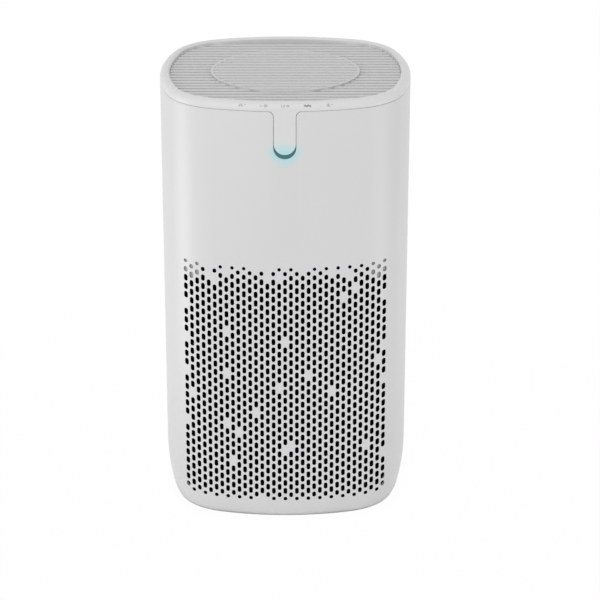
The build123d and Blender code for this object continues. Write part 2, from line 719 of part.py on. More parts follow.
with BuildPart() as board_header:
    with Locations((HEADER_X, board_back, header_z)):
        Box(*HEADER_SIZE, align=(Align.CENTER, Align.MIN, Align.CENTER))
    with Locations((HEADER_X, board_back + HEADER_SIZE[1], header_z)):
        Box(
            HEADER_SIZE[0] - 2 * HEADER_WALL, HEADER_SIZE[1] - HEADER_WALL, HEADER_SIZE[2] - 2 * HEADER_WALL,
            align=(Align.CENTER, Align.MAX, Align.CENTER), mode=Mode.SUBTRACT,
        )
finish(board_header.part, "board_header")

# Inlet plate with its bell mouth, and the finger guard in the mouth
plate_top = PLATE_Z + PLATE_THICKNESS
plate_screws = [(x, y) for x in (-CORNER_SCREW, CORNER_SCREW) for y in (-CORNER_SCREW, CORNER_SCREW)]
duct_screws = [tuple(polar(DUCT_SCREW_RADIUS, 90.0 * n))[:2] for n in range(4)]
with BuildPart() as inlet_plate:
    with BuildSketch(Plane.XY.offset(PLATE_Z)):
        add(plan_face(PLATE_INSET))
        Circle(MOUTH_RADIUS, mode=Mode.SUBTRACT)
        with Locations(*plate_screws, *duct_screws):
            Circle(SCREW_RADIUS, mode=Mode.SUBTRACT)
    extrude(amount=PLATE_THICKNESS)
    with BuildSketch(Plane.XY.offset(plate_top)):
        Circle(MOUTH_RADIUS + MOUTH_WALL)
        Circle(MOUTH_RADIUS, mode=Mode.SUBTRACT)
    extrude(amount=MOUTH_TOP_Z - plate_top)
    mouth_edge = inlet_plate.edges().filter_by(GeomType.CIRCLE).filter_by_position(
        Axis.Z, PLATE_Z, PLATE_Z
    )
    fillet(mouth_edge.filter_by(lambda e: abs(e.radius - MOUTH_RADIUS) < 0.1), MOUTH_ROUND)
finish(inlet_plate.part, "inlet_plate")

with BuildPart() as inlet_guard:
    with BuildSketch(Plane.XY.offset(plate_top)):
        Circle(MOUTH_RADIUS)
        Circle(MOUTH_RADIUS - GUARD_BAR, mode=Mode.SUBTRACT)
        for ring in GUARD_RINGS:
            add(ring_slot(ring + GUARD_BAR, ring, 0.0, 180.0))
            add(ring_slot(ring + GUARD_BAR, ring, 180.0, 180.0))
        spoke_length = MOUTH_RADIUS - GUARD_BAR / 2 - GUARD_RINGS[0]
        with PolarLocations(GUARD_RINGS[0] + spoke_length / 2, GUARD_SPOKES):
            Rectangle(spoke_length, GUARD_BAR)
    extrude(amount=GUARD_BAR)
finish(inlet_guard.part, "inlet_guard")

with BuildPart() as plate_screw_set:
    with Locations(*[(x, y, plate_top) for x, y in plate_screws]):
        Cylinder(SCREW_HEAD_RADIUS, SCREW_HEAD_HEIGHT, align=LOW)
    with Locations(*[(x, y, PLATE_Z - BOSS_LENGTH + SCREW_TIP) for x, y in plate_screws]):
        Cylinder(SCREW_RADIUS, PLATE_THICKNESS + BOSS_LENGTH - SCREW_TIP, align=LOW)
finish(plate_screw_set.part, "plate_screws")

# Fan duct
duct_bore = DUCT_RADIUS - DUCT_WALL
duct_flange_top = plate_top + PLATE_THICKNESS
with BuildPart() as fan_duct:
    with BuildSketch(Plane.XY.offset(plate_top)):
        Circle(DUCT_FLANGE_RADIUS)
        Circle(duct_bore, mode=Mode.SUBTRACT)
        with Locations(*duct_screws):
            Circle(SCREW_RADIUS, mode=Mode.SUBTRACT)
    extrude(amount=PLATE_THICKNESS)
    with BuildSketch(Plane.XY.offset(duct_flange_top)):
        Circle(DUCT_RADIUS)
        Circle(duct_bore, mode=Mode.SUBTRACT)
    extrude(amount=DUCT_TOP_Z - duct_flange_top)
finish(fan_duct.part, "fan_duct")

with BuildPart() as duct_screw_set:
    with Locations(*[(x, y, duct_flange_top) for x, y in duct_screws]):
        Cylinder(DUCT_SCREW_HEAD, SCREW_HEAD_HEIGHT, align=LOW)
    with Locations(*[(x, y, PLATE_Z - SCREW_TIP) for x, y in duct_screws]):
        Cylinder(SCREW_RADIUS, 2 * PLATE_THICKNESS + SCREW_TIP, align=LOW)
finish(duct_screw_set.part, "duct_screws")

# Impeller: backward-curved blades between a shroud ring and a hub plate
shroud_top = IMPELLER_LOW_Z + SHROUD_THICKNESS
with BuildLine() as blade_line:
    ThreePointArc(
        polar(BLADE_INNER_RADIUS, 0.0),
        polar(BLADE_MIDDLE_RADIUS, BLADE_MIDDLE_ANGLE),
        polar(BLADE_OUTER_RADIUS, BLADE_SWEEP),
    )
with BuildPart() as impeller:
    with BuildSketch(Plane.XY.offset(IMPELLER_LOW_Z)):
        Circle(IMPELLER_RADIUS)
        Circle(SHROUD_BORE, mode=Mode.SUBTRACT)
    extrude(amount=SHROUD_THICKNESS)
    with BuildSketch(Plane.XY.offset(shroud_top)):
        with PolarLocations(0, BLADE_COUNT):
            SlotArc(blade_line.edge(), BLADE_THICKNESS)
    extrude(amount=BLADE_TOP_Z - shroud_top)
    with Locations((0, 0, BLADE_TOP_Z)):
        Cylinder(IMPELLER_RADIUS, HUB_PLATE_THICKNESS, align=LOW)
    with Locations((0, 0, BOSS_Z)):
        Cylinder(IMPELLER_BOSS_RADIUS, BLADE_TOP_Z - BOSS_Z, align=LOW)
    with Locations((0, 0, BOSS_Z)):
        Cylinder(SHAFT_RADIUS, HEIGHT, align=LOW, mode=Mode.SUBTRACT)
finish(impeller.part, "impeller")

with BuildPart() as motor_shaft:
    with Locations((0, 0, SHAFT_LOW_Z)):
        Cylinder(SHAFT_RADIUS, SHAFT_HIGH_Z - SHAFT_LOW_Z, align=LOW)
    chamfer(motor_shaft.edges().filter_by(GeomType.CIRCLE), SHAFT_CHAMFER)
finish(motor_shaft.part, "motor_shaft")

with BuildPart() as impeller_nut:
    with BuildSketch(Plane.XY.offset(BOSS_Z - NUT_HEIGHT)):
        RegularPolygon(NUT_FLATS / 2, 6, major_radius=False)
        Circle(SHAFT_RADIUS, mode=Mode.SUBTRACT)
    extrude(amount=NUT_HEIGHT)
finish(impeller_nut.part, "impeller_nut")

# Motor: can, lid, bearings, stator, coils and rotor magnet
motor_bore = MOTOR_RADIUS - MOTOR_WALL
floor_top = MOTOR_LOW_Z + MOTOR_FLOOR
with BuildPart() as motor_can:
    with BuildSketch(Plane.XY.offset(MOTOR_LOW_Z)):
        Circle(MOTOR_RADIUS)
        Circle(SHAFT_RADIUS + SHAFT_HOLE_GAP, mode=Mode.SUBTRACT)
    extrude(amount=MOTOR_FLOOR)
    with BuildSketch(Plane.XY.offset(floor_top)):
        Circle(MOTOR_RADIUS)
        Circle(motor_bore, mode=Mode.SUBTRACT)
    extrude(amount=MOTOR_LID_Z - floor_top)
    with BuildSketch(Plane.XY.offset(floor_top)):
        Circle(BEARING_BOSS)
        Circle(BEARING_RADIUS, mode=Mode.SUBTRACT)
    extrude(amount=BEARING_HEIGHT)
finish(motor_can.part, "motor_can")

motor_screws = [
    tuple(polar(MOTOR_SCREW_CIRCLE, 90.0 + 360.0 / MOTOR_SCREWS * n))[:2] for n in range(MOTOR_SCREWS)
]
lid_top = MOTOR_LID_Z + MOTOR_LID_THICKNESS
with BuildPart() as motor_lid:
    with BuildSketch(Plane.XY.offset(MOTOR_LID_Z)):
        Circle(MOTOR_RADIUS)
        with Locations(*motor_screws):
            Circle(MOTOR_SCREW_RADIUS, mode=Mode.SUBTRACT)
    extrude(amount=MOTOR_LID_THICKNESS)
    with Locations((0, 0, MOTOR_LID_Z)):
        Cylinder(SHAFT_RADIUS + SHAFT_HOLE_GAP, MOTOR_LID_THICKNESS, align=LOW, mode=Mode.SUBTRACT)
    with BuildSketch(Plane.XY.offset(MOTOR_LID_Z - BEARING_HEIGHT)):
        Circle(BEARING_BOSS)
        Circle(BEARING_RADIUS, mode=Mode.SUBTRACT)
    extrude(amount=BEARING_HEIGHT)
finish(motor_lid.part, "motor_lid")

with BuildPart() as bearings:
    for low in (floor_top, MOTOR_LID_Z - BEARING_HEIGHT):
        with BuildSketch(Plane.XY.offset(low)):
            Circle(BEARING_RADIUS)
            Circle(SHAFT_RADIUS + BEARING_CLEARANCE, mode=Mode.SUBTRACT)
        extrude(amount=BEARING_HEIGHT)
finish(bearings.part, "bearings")

stator_height = STATOR_HIGH_Z - STATOR_LOW_Z
tooth_length = STATOR_YOKE + TOOTH_ROOT - TOOTH_TIP_RADIUS
with BuildPart() as stator_core:
    with BuildSketch(Plane.XY.offset(STATOR_LOW_Z)):
        Circle(motor_bore)
        Circle(STATOR_YOKE, mode=Mode.SUBTRACT)
        with PolarLocations(TOOTH_TIP_RADIUS + tooth_length / 2, TOOTH_COUNT):
            Rectangle(tooth_length, TOOTH_WIDTH)
    extrude(amount=stator_height)
finish(stator_core.part, "stator_core")

coil_length = COIL_OUTER_RADIUS - COIL_INNER_RADIUS
coil_middle = (COIL_OUTER_RADIUS + COIL_INNER_RADIUS) / 2
stator_middle = (STATOR_LOW_Z + STATOR_HIGH_Z) / 2
with BuildPart() as stator_coils:
    with PolarLocations(coil_middle, TOOTH_COUNT):
        with Locations((0, 0, stator_middle)):
            Box(coil_length, TOOTH_WIDTH + 2 * COIL_THICKNESS, stator_height + 2 * COIL_THICKNESS)
    with PolarLocations(coil_middle, TOOTH_COUNT):
        with Locations((0, 0, stator_middle)):
            Box(coil_length + CUT_MARGIN, TOOTH_WIDTH, stator_height, mode=Mode.SUBTRACT)
finish(stator_coils.part, "stator_coils")

with BuildPart() as rotor_magnet:
    with BuildSketch(Plane.XY.offset(STATOR_LOW_Z)):
        Circle(MAGNET_RADIUS)
        Circle(SHAFT_RADIUS, mode=Mode.SUBTRACT)
    extrude(amount=stator_height)
finish(rotor_magnet.part, "rotor_magnet")

# Motor mount: round plate on straight outlet vanes, held in the duct by its ring
mount_low = lid_top + DAMPER_HEIGHT
mount_top = mount_low + MOUNT_THICKNESS
vane_length = duct_bore - MOUNT_RADIUS
with BuildPart() as motor_mount:
    with BuildSketch(Plane.XY.offset(mount_low)):
        Circle(MOUNT_RADIUS)
        with Locations(*motor_screws):
            Circle(MOTOR_SCREW_RADIUS, mode=Mode.SUBTRACT)
    extrude(amount=MOUNT_THICKNESS)
    with BuildSketch(Plane.XY.offset(VANE_LOW_Z)):
        Circle(duct_bore)
        Circle(duct_bore - MOUNT_RING, mode=Mode.SUBTRACT)
        Circle(MOUNT_RADIUS)
        Circle(MOUNT_RADIUS - MOUNT_RING, mode=Mode.SUBTRACT)
        with PolarLocations(MOUNT_RADIUS - MOUNT_RING / 2 + vane_length / 2, VANE_COUNT):
            Rectangle(vane_length, VANE_THICKNESS)
    extrude(amount=mount_top - VANE_LOW_Z)
finish(motor_mount.part, "motor_mount")

with BuildPart() as motor_dampers:
    with BuildSketch(Plane.XY.offset(lid_top)):
        with Locations(*motor_screws):
            Circle(DAMPER_RADIUS)
            Circle(MOTOR_SCREW_RADIUS, mode=Mode.SUBTRACT)
    extrude(amount=DAMPER_HEIGHT)
finish(motor_dampers.part, "motor_dampers")

with BuildPart() as motor_screw_set:
    with Locations(*[(x, y, mount_top) for x, y in motor_screws]):
        Cylinder(2 * MOTOR_SCREW_RADIUS, SCREW_HEAD_HEIGHT, align=LOW)
    with Locations(*[(x, y, MOTOR_LID_Z) for x, y in motor_screws]):
        Cylinder(MOTOR_SCREW_RADIUS, mount_top - MOTOR_LID_Z, align=LOW)
finish(motor_screw_set.part, "motor_screws")

# Base ring with the quick-turn groove for the cover
cover_bore = COVER_RADIUS + COVER_GAP
plate_high = BASE_LOW_Z + BASE_PLATE
flange_low = SHELL_BOTTOM_Z + WALL
groove_low = LUG_LOW_Z - LUG_CLEARANCE
groove_high = LUG_HIGH_Z + LUG_CLEARANCE
groove_radius = LUG_REACH + LUG_CLEARANCE
foot_places = [(x, y) for x in (-FOOT_PLACE, FOOT_PLACE) for y in (-FOOT_PLACE, FOOT_PLACE)]
lug_places = [360.0 / LUG_COUNT * n for n in range(LUG_COUNT)]
clear_angle = degrees(LUG_CLEARANCE / LUG_REACH)
with BuildPart() as base_ring:
    with BuildSketch(Plane.XY.offset(BASE_LOW_Z)):
        add(plan_face(BASE_SKIRT_INSET))
        Circle(cover_bore, mode=Mode.SUBTRACT)
    extrude(amount=BASE_PLATE)
    with BuildSketch(Plane.XY.offset(plate_high)):
        add(plan_ring(BASE_SKIRT_INSET, BASE_SKIRT_INSET + BASE_SKIRT_WALL))
    extrude(amount=flange_low - plate_high)
    with BuildSketch(Plane.XY.offset(flange_low)):
        add(plan_ring(BASE_FLANGE_INSET, BASE_SKIRT_INSET + BASE_SKIRT_WALL))
    extrude(amount=BASE_FLANGE_TOP_Z - flange_low)
    with BuildSketch(Plane.XY.offset(plate_high)):
        Circle(COLLAR_RADIUS)
        Circle(cover_bore, mode=Mode.SUBTRACT)
    extrude(amount=COLLAR_TOP_Z - plate_high)
    with BuildSketch(Plane.XY.offset(groove_low)):
        Circle(groove_radius)
        Circle(cover_bore - CUT_MARGIN, mode=Mode.SUBTRACT)
    extrude(amount=groove_high - groove_low, mode=Mode.SUBTRACT)
    with BuildSketch(Plane.XY.offset(BASE_LOW_Z)):
        for place in lug_places:
            entry = place - TURN_RANGE - LUG_ANGLE / 2 - 2 * clear_angle
            add(ring_slot(groove_radius, cover_bore - CUT_MARGIN, entry, LUG_ANGLE + 4 * clear_angle))
    extrude(amount=groove_low - BASE_LOW_Z, mode=Mode.SUBTRACT)
    with BuildSketch(Plane.XY.offset(groove_low)):
        for place in lug_places:
            locked_stop = place + LUG_ANGLE / 2 + clear_angle
            open_stop = place - TURN_RANGE - LUG_ANGLE / 2 - STOP_ANGLE - clear_angle
            add(ring_slot(groove_radius, cover_bore, locked_stop, STOP_ANGLE))
            add(ring_slot(groove_radius, cover_bore, open_stop, STOP_ANGLE))
    extrude(amount=groove_high - groove_low)
    with Locations(*[(x, y, BASE_LOW_Z) for x, y in foot_places]):
        Cylinder(FOOT_RADIUS, FOOT_HEIGHT - BASE_LOW_Z, align=LOW, mode=Mode.SUBTRACT)
    with Locations((0, JACK_Y - JACK_GAP, plate_high)):
        Box(
            JACK_SIZE[0] + 2 * JACK_GAP, 2 * JACK_SIZE[1], JACK_SIZE[2],
            align=(Align.CENTER, Align.MIN, Align.MIN), mode=Mode.SUBTRACT,
        )
    with Locations((0, JACK_Y, plate_high)):
        Box(
            JACK_SIZE[0], JACK_SEAT_DEPTH, JACK_SEAT_Z - plate_high,
            align=(Align.CENTER, Align.MIN, Align.MIN),
        )
finish(base_ring.part, "base_ring")

with BuildPart() as feet:
    with Locations(*[(x, y, 0.0) for x, y in foot_places]):
        Cylinder(FOOT_RADIUS, FOOT_HEIGHT, align=LOW)
    fillet(feet.edges().filter_by(GeomType.CIRCLE).group_by(Axis.Z)[0], FOOT_ROUND)
finish(feet.part, "feet")

# Filter cover: dished disc with a grip bar, a wall and three lugs
cover_floor = COVER_LOW_Z + COVER_THICKNESS
with BuildPart() as filter_cover:
    with Locations((0, 0, COVER_LOW_Z)):
        Cylinder(COVER_RADIUS, COVER_THICKNESS, align=LOW)
    fillet(filter_cover.edges().filter_by(GeomType.CIRCLE).group_by(Axis.Z)[0], COVER_EDGE_ROUND)
    with BuildSketch(Plane.XY.offset(cover_floor)):
        Circle(COVER_WALL_RADIUS)
        Circle(COVER_WALL_RADIUS - COVER_WALL, mode=Mode.SUBTRACT)
        Circle(GRIP_RADIUS + GRIP_WALL)
    extrude(amount=COVER_TOP_Z - cover_floor)
    with BuildSketch(Plane.XY.offset(LUG_LOW_Z)):
        for place in lug_places:
            add(ring_slot(LUG_REACH, COVER_WALL_RADIUS - CUT_MARGIN, place - LUG_ANGLE / 2, LUG_ANGLE))
    extrude(amount=LUG_HIGH_Z - LUG_LOW_Z)
    with BuildSketch(Plane.XY.offset(COVER_LOW_Z)):
        Circle(GRIP_RADIUS)
        Rectangle(2 * HALF_WIDTH, GRIP_BAR, mode=Mode.SUBTRACT)
    extrude(amount=GRIP_DEPTH, mode=Mode.SUBTRACT)
    with BuildSketch(Plane.XY.offset(COVER_LOW_Z + GRIP_DEPTH + GRIP_WALL)):
        Circle(GRIP_RADIUS + GRIP_WALL)
    extrude(amount=COVER_TOP_Z - COVER_LOW_Z - GRIP_DEPTH - GRIP_WALL, mode=Mode.SUBTRACT)
finish(filter_cover.part, "filter_cover")

# Filter cartridge
media_low = FILTER_LOW_Z + CAP_THICKNESS
media_height = FILTER_CAP_Z - media_low
with BuildPart() as filter_bottom_cap:
    with Locations((0, 0, FILTER_LOW_Z)):
        Cylinder(FILTER_RADIUS, CAP_THICKNESS, align=LOW)
finish(filter_bottom_cap.part, "filter_bottom_cap")

with BuildPart() as filter_media:
    with BuildSketch(Plane.XY.offset(media_low)):
        fold = 180.0 / PLEAT_COUNT
        outer_fold = [
            polar(PLEAT_INNER if n % 2 else PLEAT_OUTER, fold * n) for n in range(2 * PLEAT_COUNT)
        ]
        inner_fold = [
            polar((PLEAT_INNER if n % 2 else PLEAT_OUTER) - PLEAT_DEPTH, fold * n)
            for n in range(2 * PLEAT_COUNT)
        ]
        with BuildLine():
            Polyline(*outer_fold, close=True)
        make_face()
        with BuildLine():
            Polyline(*inner_fold, close=True)
        make_face(mode=Mode.SUBTRACT)
    extrude(amount=media_height)
finish(filter_media.part, "filter_media")

with BuildPart() as filter_core:
    with BuildSketch(Plane.XY.offset(media_low)):
        Circle(CORE_RADIUS)
        Circle(CORE_RADIUS - CORE_WALL, mode=Mode.SUBTRACT)
    extrude(amount=media_height)
finish(filter_core.part, "filter_core")

with BuildPart() as filter_sleeve:
    with BuildSketch(Plane.XY.offset(media_low)):
        Circle(FILTER_RADIUS)
        Circle(FILTER_RADIUS - SLEEVE_WALL, mode=Mode.SUBTRACT)
    extrude(amount=media_height)
finish(filter_sleeve.part, "filter_sleeve")

cap_top = FILTER_CAP_Z + CAP_THICKNESS
with BuildPart() as filter_top_cap:
    with BuildSketch(Plane.XY.offset(FILTER_CAP_Z)):
        Circle(FILTER_RADIUS)
        Circle(CAP_BORE, mode=Mode.SUBTRACT)
    extrude(amount=CAP_THICKNESS)
finish(filter_top_cap.part, "filter_top_cap")

with BuildPart() as filter_gasket:
    with BuildSketch(Plane.XY.offset(cap_top)):
        Circle(GASKET_OUTER)
        Circle(GASKET_INNER, mode=Mode.SUBTRACT)
    extrude(amount=PLATE_Z - GASKET_CLEARANCE - cap_top)
finish(filter_gasket.part, "filter_gasket")

# Power jack on the base ring
with BuildPart() as power_jack:
    with Locations((0, JACK_Y, JACK_SEAT_Z)):
        Box(*JACK_SIZE, align=(Align.CENTER, Align.MIN, Align.MIN))
    jack_plane = Plane((0, JACK_Y + JACK_SIZE[1], JACK_Z), x_dir=(-1, 0, 0), z_dir=(0, 1, 0))
    with BuildSketch(jack_plane):
        Circle(JACK_NOSE_RADIUS)
    extrude(amount=JACK_NOSE_LENGTH)
    with BuildSketch(jack_plane.offset(JACK_NOSE_LENGTH)):
        Circle(JACK_BORE)
    extrude(amount=-JACK_DEPTH, mode=Mode.SUBTRACT)
finish(power_jack.part, "power_jack")

with BuildPart() as jack_pin:
    with BuildSketch(jack_plane.offset(JACK_NOSE_LENGTH - JACK_DEPTH)):
        Circle(JACK_PIN_RADIUS)
    extrude(amount=JACK_PIN_LENGTH)
    fillet(jack_pin.edges().filter_by(GeomType.CIRCLE).group_by(Axis.Y)[-1], JACK_PIN_ROUND)
finish(jack_pin.part, "jack_pin")
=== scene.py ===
"""Looks of a squared tower air purifier: perforated shells, key marks, finishes, studio and camera.

Sizes in the classes are millimetres, and meshes are in metres. The front faces -Y and +Z is up.
"""
import json
import logging
import math
from dataclasses import dataclass
from enum import Enum
from typing import Iterable, Optional, Sequence

import bmesh
import bpy
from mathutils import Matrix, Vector

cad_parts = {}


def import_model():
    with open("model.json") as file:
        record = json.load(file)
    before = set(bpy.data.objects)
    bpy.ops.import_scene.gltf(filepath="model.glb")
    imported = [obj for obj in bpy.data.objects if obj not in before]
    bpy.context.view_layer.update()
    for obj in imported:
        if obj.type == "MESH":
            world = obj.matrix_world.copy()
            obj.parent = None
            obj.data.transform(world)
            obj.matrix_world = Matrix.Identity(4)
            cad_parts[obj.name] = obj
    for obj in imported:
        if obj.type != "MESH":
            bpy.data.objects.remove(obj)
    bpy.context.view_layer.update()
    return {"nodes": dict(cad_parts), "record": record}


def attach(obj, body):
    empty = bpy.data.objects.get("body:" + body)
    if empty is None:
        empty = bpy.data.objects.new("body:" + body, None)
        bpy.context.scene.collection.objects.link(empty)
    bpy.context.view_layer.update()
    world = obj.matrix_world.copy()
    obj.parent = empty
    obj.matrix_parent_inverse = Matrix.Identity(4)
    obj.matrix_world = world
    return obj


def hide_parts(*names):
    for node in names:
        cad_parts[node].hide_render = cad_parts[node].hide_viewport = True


LOG = logging.getLogger("purifier")
MM = 0.001
HOUSING = "housing"

Point = tuple[float, float]
Place = tuple[float, float, float]
Colour = tuple[float, float, float, float]
Ring = Sequence[Vector]
Tree = bpy.types.NodeTree
Socket = bpy.types.NodeSocket
Node = bpy.types.Node
Material = bpy.types.Material
Piece = bpy.types.Object

# points round each small post, bore and plug hole
ROUND_STEPS = 48


def linear(code: str) -> Colour:
    """Turns an sRGB hex colour into linear light.

    Args:
        code: The colour as #rrggbb.

    Returns:
        Red, green and blue in linear light, and an alpha of 1.
    """
    channels = [int(code[i:i + 2], 16) / 255 for i in (1, 3, 5)]
    light = [c / 12.92 if c <= 0.04045 else ((c + 0.055) / 1.055) ** 2.4 for c in channels]
    return light[0], light[1], light[2], 1.0


def per_metre(size: float) -> float:
    """Returns the texture scale that draws features of a size in millimetres."""
    return 1.0 / (size * MM)


def add_node(tree: Tree, kind: str, inputs: Optional[dict] = None, **settings: object) -> Node:
    """Adds a shader node with its settings and its inputs.

    Args:
        tree: The node tree that gets the node.
        kind: Blender's type name of the node.
        inputs: Values, or sockets to link, by the input's name or number.
        **settings: Properties of the node.

    Returns:
        The new node.
    """
    node = tree.nodes.new(kind)
    for key, value in settings.items():
        setattr(node, key, value)
    for key, value in (inputs or {}).items():
        if isinstance(value, Socket):
            tree.links.new(value, node.inputs[key])
        else:
            node.inputs[key].default_value = value
    return node


@dataclass(frozen=True)
class Finish:
    """A surface finish: what the material is, how it was made and what the eye sees of it.

    The colour drifts slowly between two close tones, and a fine grain sets roughness and relief.
    """

    name: str
    colour: str
    drift: str
    roughness: float
    roughness_spread: float = 0.05
    drift_size: float = 60.0
    grain_size: float = 0.9
    relief: float = 0.006
    metallic: float = 0.0
    ior: float = 1.5

    def grain(self, tree: Tree, coords: Socket) -> Socket:
        """Draws the fine grain.

        Args:
            tree: The node tree that gets the nodes.
            coords: The place on the object, in metres.

        Returns:
            The grain's height, from 0 to 1.
        """
        scale = per_metre(self.grain_size)
        noise = add_node(tree, "ShaderNodeTexNoise", {"Vector": coords, "Scale": scale, "Detail": 2.0})
        return noise.outputs["Fac"]

    def tone(self, tree: Tree, coords: Socket) -> Socket:
        """Draws the colour, which drifts between the two tones.

        Args:
            tree: The node tree that gets the nodes.
            coords: The place on the object, in metres.

        Returns:
            The surface colour.
        """
        scale = per_metre(self.drift_size)
        noise = add_node(tree, "ShaderNodeTexNoise", {"Vector": coords, "Scale": scale, "Detail": 3.0})
        inputs = {0: noise.outputs["Fac"], 6: linear(self.colour), 7: linear(self.drift)}
        return add_node(tree, "ShaderNodeMix", inputs, data_type="RGBA").outputs[2]

    def extras(self, tree: Tree, coords: Socket, shader: Node) -> None:
        """Sets what a kind of finish has beyond colour, grain and gloss.

        Args:
            tree: The node tree that gets the nodes.
            coords: The place on the object, in metres.
            shader: The surface shader that is set.
        """

    def build(self) -> Material:
        """Makes the Blender material.

        Returns:
            The finished material.
        """
        material = bpy.data.materials.new(self.name)
        material.use_nodes = True
        tree = material.node_tree
        tree.nodes.clear()
        coords = add_node(tree, "ShaderNodeTexCoord").outputs["Object"]
        height = self.grain(tree, coords)
        gloss = add_node(tree, "ShaderNodeMapRange", {
            "Value": height,
            "To Min": self.roughness - self.roughness_spread,
            "To Max": self.roughness + self.roughness_spread,
        })
        bump = add_node(tree, "ShaderNodeBump", {"Height": height, "Distance": self.relief * MM})
        shader = add_node(tree, "ShaderNodeBsdfPrincipled", {
            "Base Color": self.tone(tree, coords),
            "Roughness": gloss.outputs[0],
            "Metallic": self.metallic,
            "IOR": self.ior,
            "Normal": bump.outputs[0],
        })
        self.extras(tree, coords, shader)
        add_node(tree, "ShaderNodeOutputMaterial", {"Surface": shader.outputs[0]})
        return material


@dataclass(frozen=True)
class Glow:
    """Painted glow: the crescent's light painted into the plastic's colour and emission, along its arc and
    softly round its middle.
    """

    colour: str = "#98dbe0"
    arc_z: float = 333.5
    arc_radius: float = 9.2
    arc_reach: float = 9.0
    top_z: float = 338.0
    full_z: float = 324.5
    middle_z: float = 326.0
    middle_reach: float = 14.0
    tint: float = 0.75
    strength: float = 0.07

    @staticmethod
    def falloff(tree: Tree, coords: Socket, centre_z: float, radius: float, reach: float) -> Socket:
        """Draws a soft circle in the front view.

        Args:
            tree: The node tree that gets the nodes.
            coords: The place on the object, in metres.
            centre_z: The height of the circle's centre.
            radius: The circle's radius.
            reach: How far from the circle the light ends.

        Returns:
            The light's share, from 1 on the circle to 0.
        """
        middle = (0.0, 0.0, centre_z * MM)
        moved = add_node(tree, "ShaderNodeVectorMath", {0: coords, 1: middle}, operation="SUBTRACT")
        upright = (1.0, 0.0, 1.0)
        flat = add_node(
            tree, "ShaderNodeVectorMath", {0: moved.outputs[0], 1: upright}, operation="MULTIPLY"
        )
        length = add_node(tree, "ShaderNodeVectorMath", {0: flat.outputs[0]}, operation="LENGTH")
        away = add_node(
            tree, "ShaderNodeMath", {0: length.outputs["Value"], 1: radius * MM}, operation="SUBTRACT"
        )
        gap = add_node(tree, "ShaderNodeMath", {0: away.outputs[0]}, operation="ABSOLUTE")
        return add_node(tree, "ShaderNodeMapRange", {
            "Value": gap.outputs[0], "From Max": reach * MM, "To Min": 1.0, "To Max": 0.0,
        }, interpolation_type="SMOOTHSTEP").outputs[0]

    def mask(self, tree: Tree, coords: Socket) -> Socket:
        """Draws how much of the glow reaches each place.

        Args:
            tree: The node tree that gets the nodes.
            coords: The place on the object, in metres.

        Returns:
            The share of the glow, from 0 to 1.
        """
        along = self.falloff(tree, coords, self.arc_z, self.arc_radius, self.arc_reach)
        parts = add_node(tree, "ShaderNodeSeparateXYZ", {0: coords})
        low = add_node(tree, "ShaderNodeMapRange", {
            "Value": parts.outputs["Z"], "From Min": self.top_z * MM, "From Max": self.full_z * MM,
        }, interpolation_type="SMOOTHSTEP")
        lower = add_node(tree, "ShaderNodeMath", {0: along, 1: low.outputs[0]}, operation="MULTIPLY")
        spot = self.falloff(tree, coords, self.middle_z, 0.0, self.middle_reach)
        share = add_node(tree, "ShaderNodeMath", {0: lower.outputs[0], 1: spot}, operation="MAXIMUM")
        front = add_node(tree, "ShaderNodeMath", {0: parts.outputs["Y"], 1: 0.0}, operation="LESS_THAN")
        return add_node(
            tree, "ShaderNodeMath", {0: share.outputs[0], 1: front.outputs[0]}, operation="MULTIPLY"
        ).outputs[0]


@dataclass(frozen=True)
class LitPlastic(Finish):
    """Moulded plastic with the crescent's light painted on round the tongue, as a tint and a faint glow."""

    glow: Glow = Glow()

    def tone(self, tree: Tree, coords: Socket) -> Socket:
        """Draws the plastic's colour, with the glow painted in as a tint where it reaches.

        Args:
            tree: The node tree that gets the nodes.
            coords: The place on the object, in metres.

        Returns:
            The surface colour.
        """
        plain = super().tone(tree, coords)
        mask = self.glow.mask(tree, coords)
        share = add_node(tree, "ShaderNodeMath", {0: mask, 1: self.glow.tint}, operation="MULTIPLY")
        inputs = {0: share.outputs[0], 6: plain, 7: linear(self.glow.colour)}
        return add_node(tree, "ShaderNodeMix", inputs, data_type="RGBA").outputs[2]

    def extras(self, tree: Tree, coords: Socket, shader: Node) -> None:
        """Adds the painted glow as a faint emission.

        Args:
            tree: The node tree that gets the nodes.
            coords: The place on the object, in metres.
            shader: The surface shader that is set.
        """
        mask = self.glow.mask(tree, coords)
        light = add_node(tree, "ShaderNodeMath", {0: mask, 1: self.glow.strength}, operation="MULTIPLY")
        shader.inputs["Emission Color"].default_value = linear(self.glow.colour)
        tree.links.new(light.outputs[0], shader.inputs["Emission Strength"])


@dataclass(frozen=True)
class WovenNet(Finish):
    """Plain-woven thread: two sets of ridges that cross."""

    thread_size: float = 1.2

    def grain(self, tree: Tree, coords: Socket) -> Socket:
        """Draws the crossing threads.

        Args:
            tree: The node tree that gets the nodes.
            coords: The place on the object, in metres.

        Returns:
            The threads' height, from 0 to 1.
        """
        sets = []
        for direction in ("X", "Z"):
            # a wave texture has about 20 / (2 pi) bands to the unit at a scale of 1
            scale = per_metre(self.thread_size) * math.tau / 20
            wave = add_node(
                tree, "ShaderNodeTexWave", {"Vector": coords, "Scale": scale}, bands_direction=direction
            )
            sets.append(wave.outputs["Fac"])
        return add_node(tree, "ShaderNodeMath", {0: sets[0], 1: sets[1]}, operation="MAXIMUM").outputs[0]


@dataclass(frozen=True)
class DrawnMetal(Finish):
    """Metal with fine marks left round the axis by turning or drawing."""

    stretch: float = 12.0

    def grain(self, tree: Tree, coords: Socket) -> Socket:
        """Draws the long fine marks.

        Args:
            tree: The node tree that gets the nodes.
            coords: The place on the object, in metres.

        Returns:
            The marks' height, from 0 to 1.
        """
        squeeze = (1.0, 1.0, self.stretch)
        long = add_node(tree, "ShaderNodeVectorMath", {0: coords, 1: squeeze}, operation="MULTIPLY")
        return super().grain(tree, long.outputs[0])


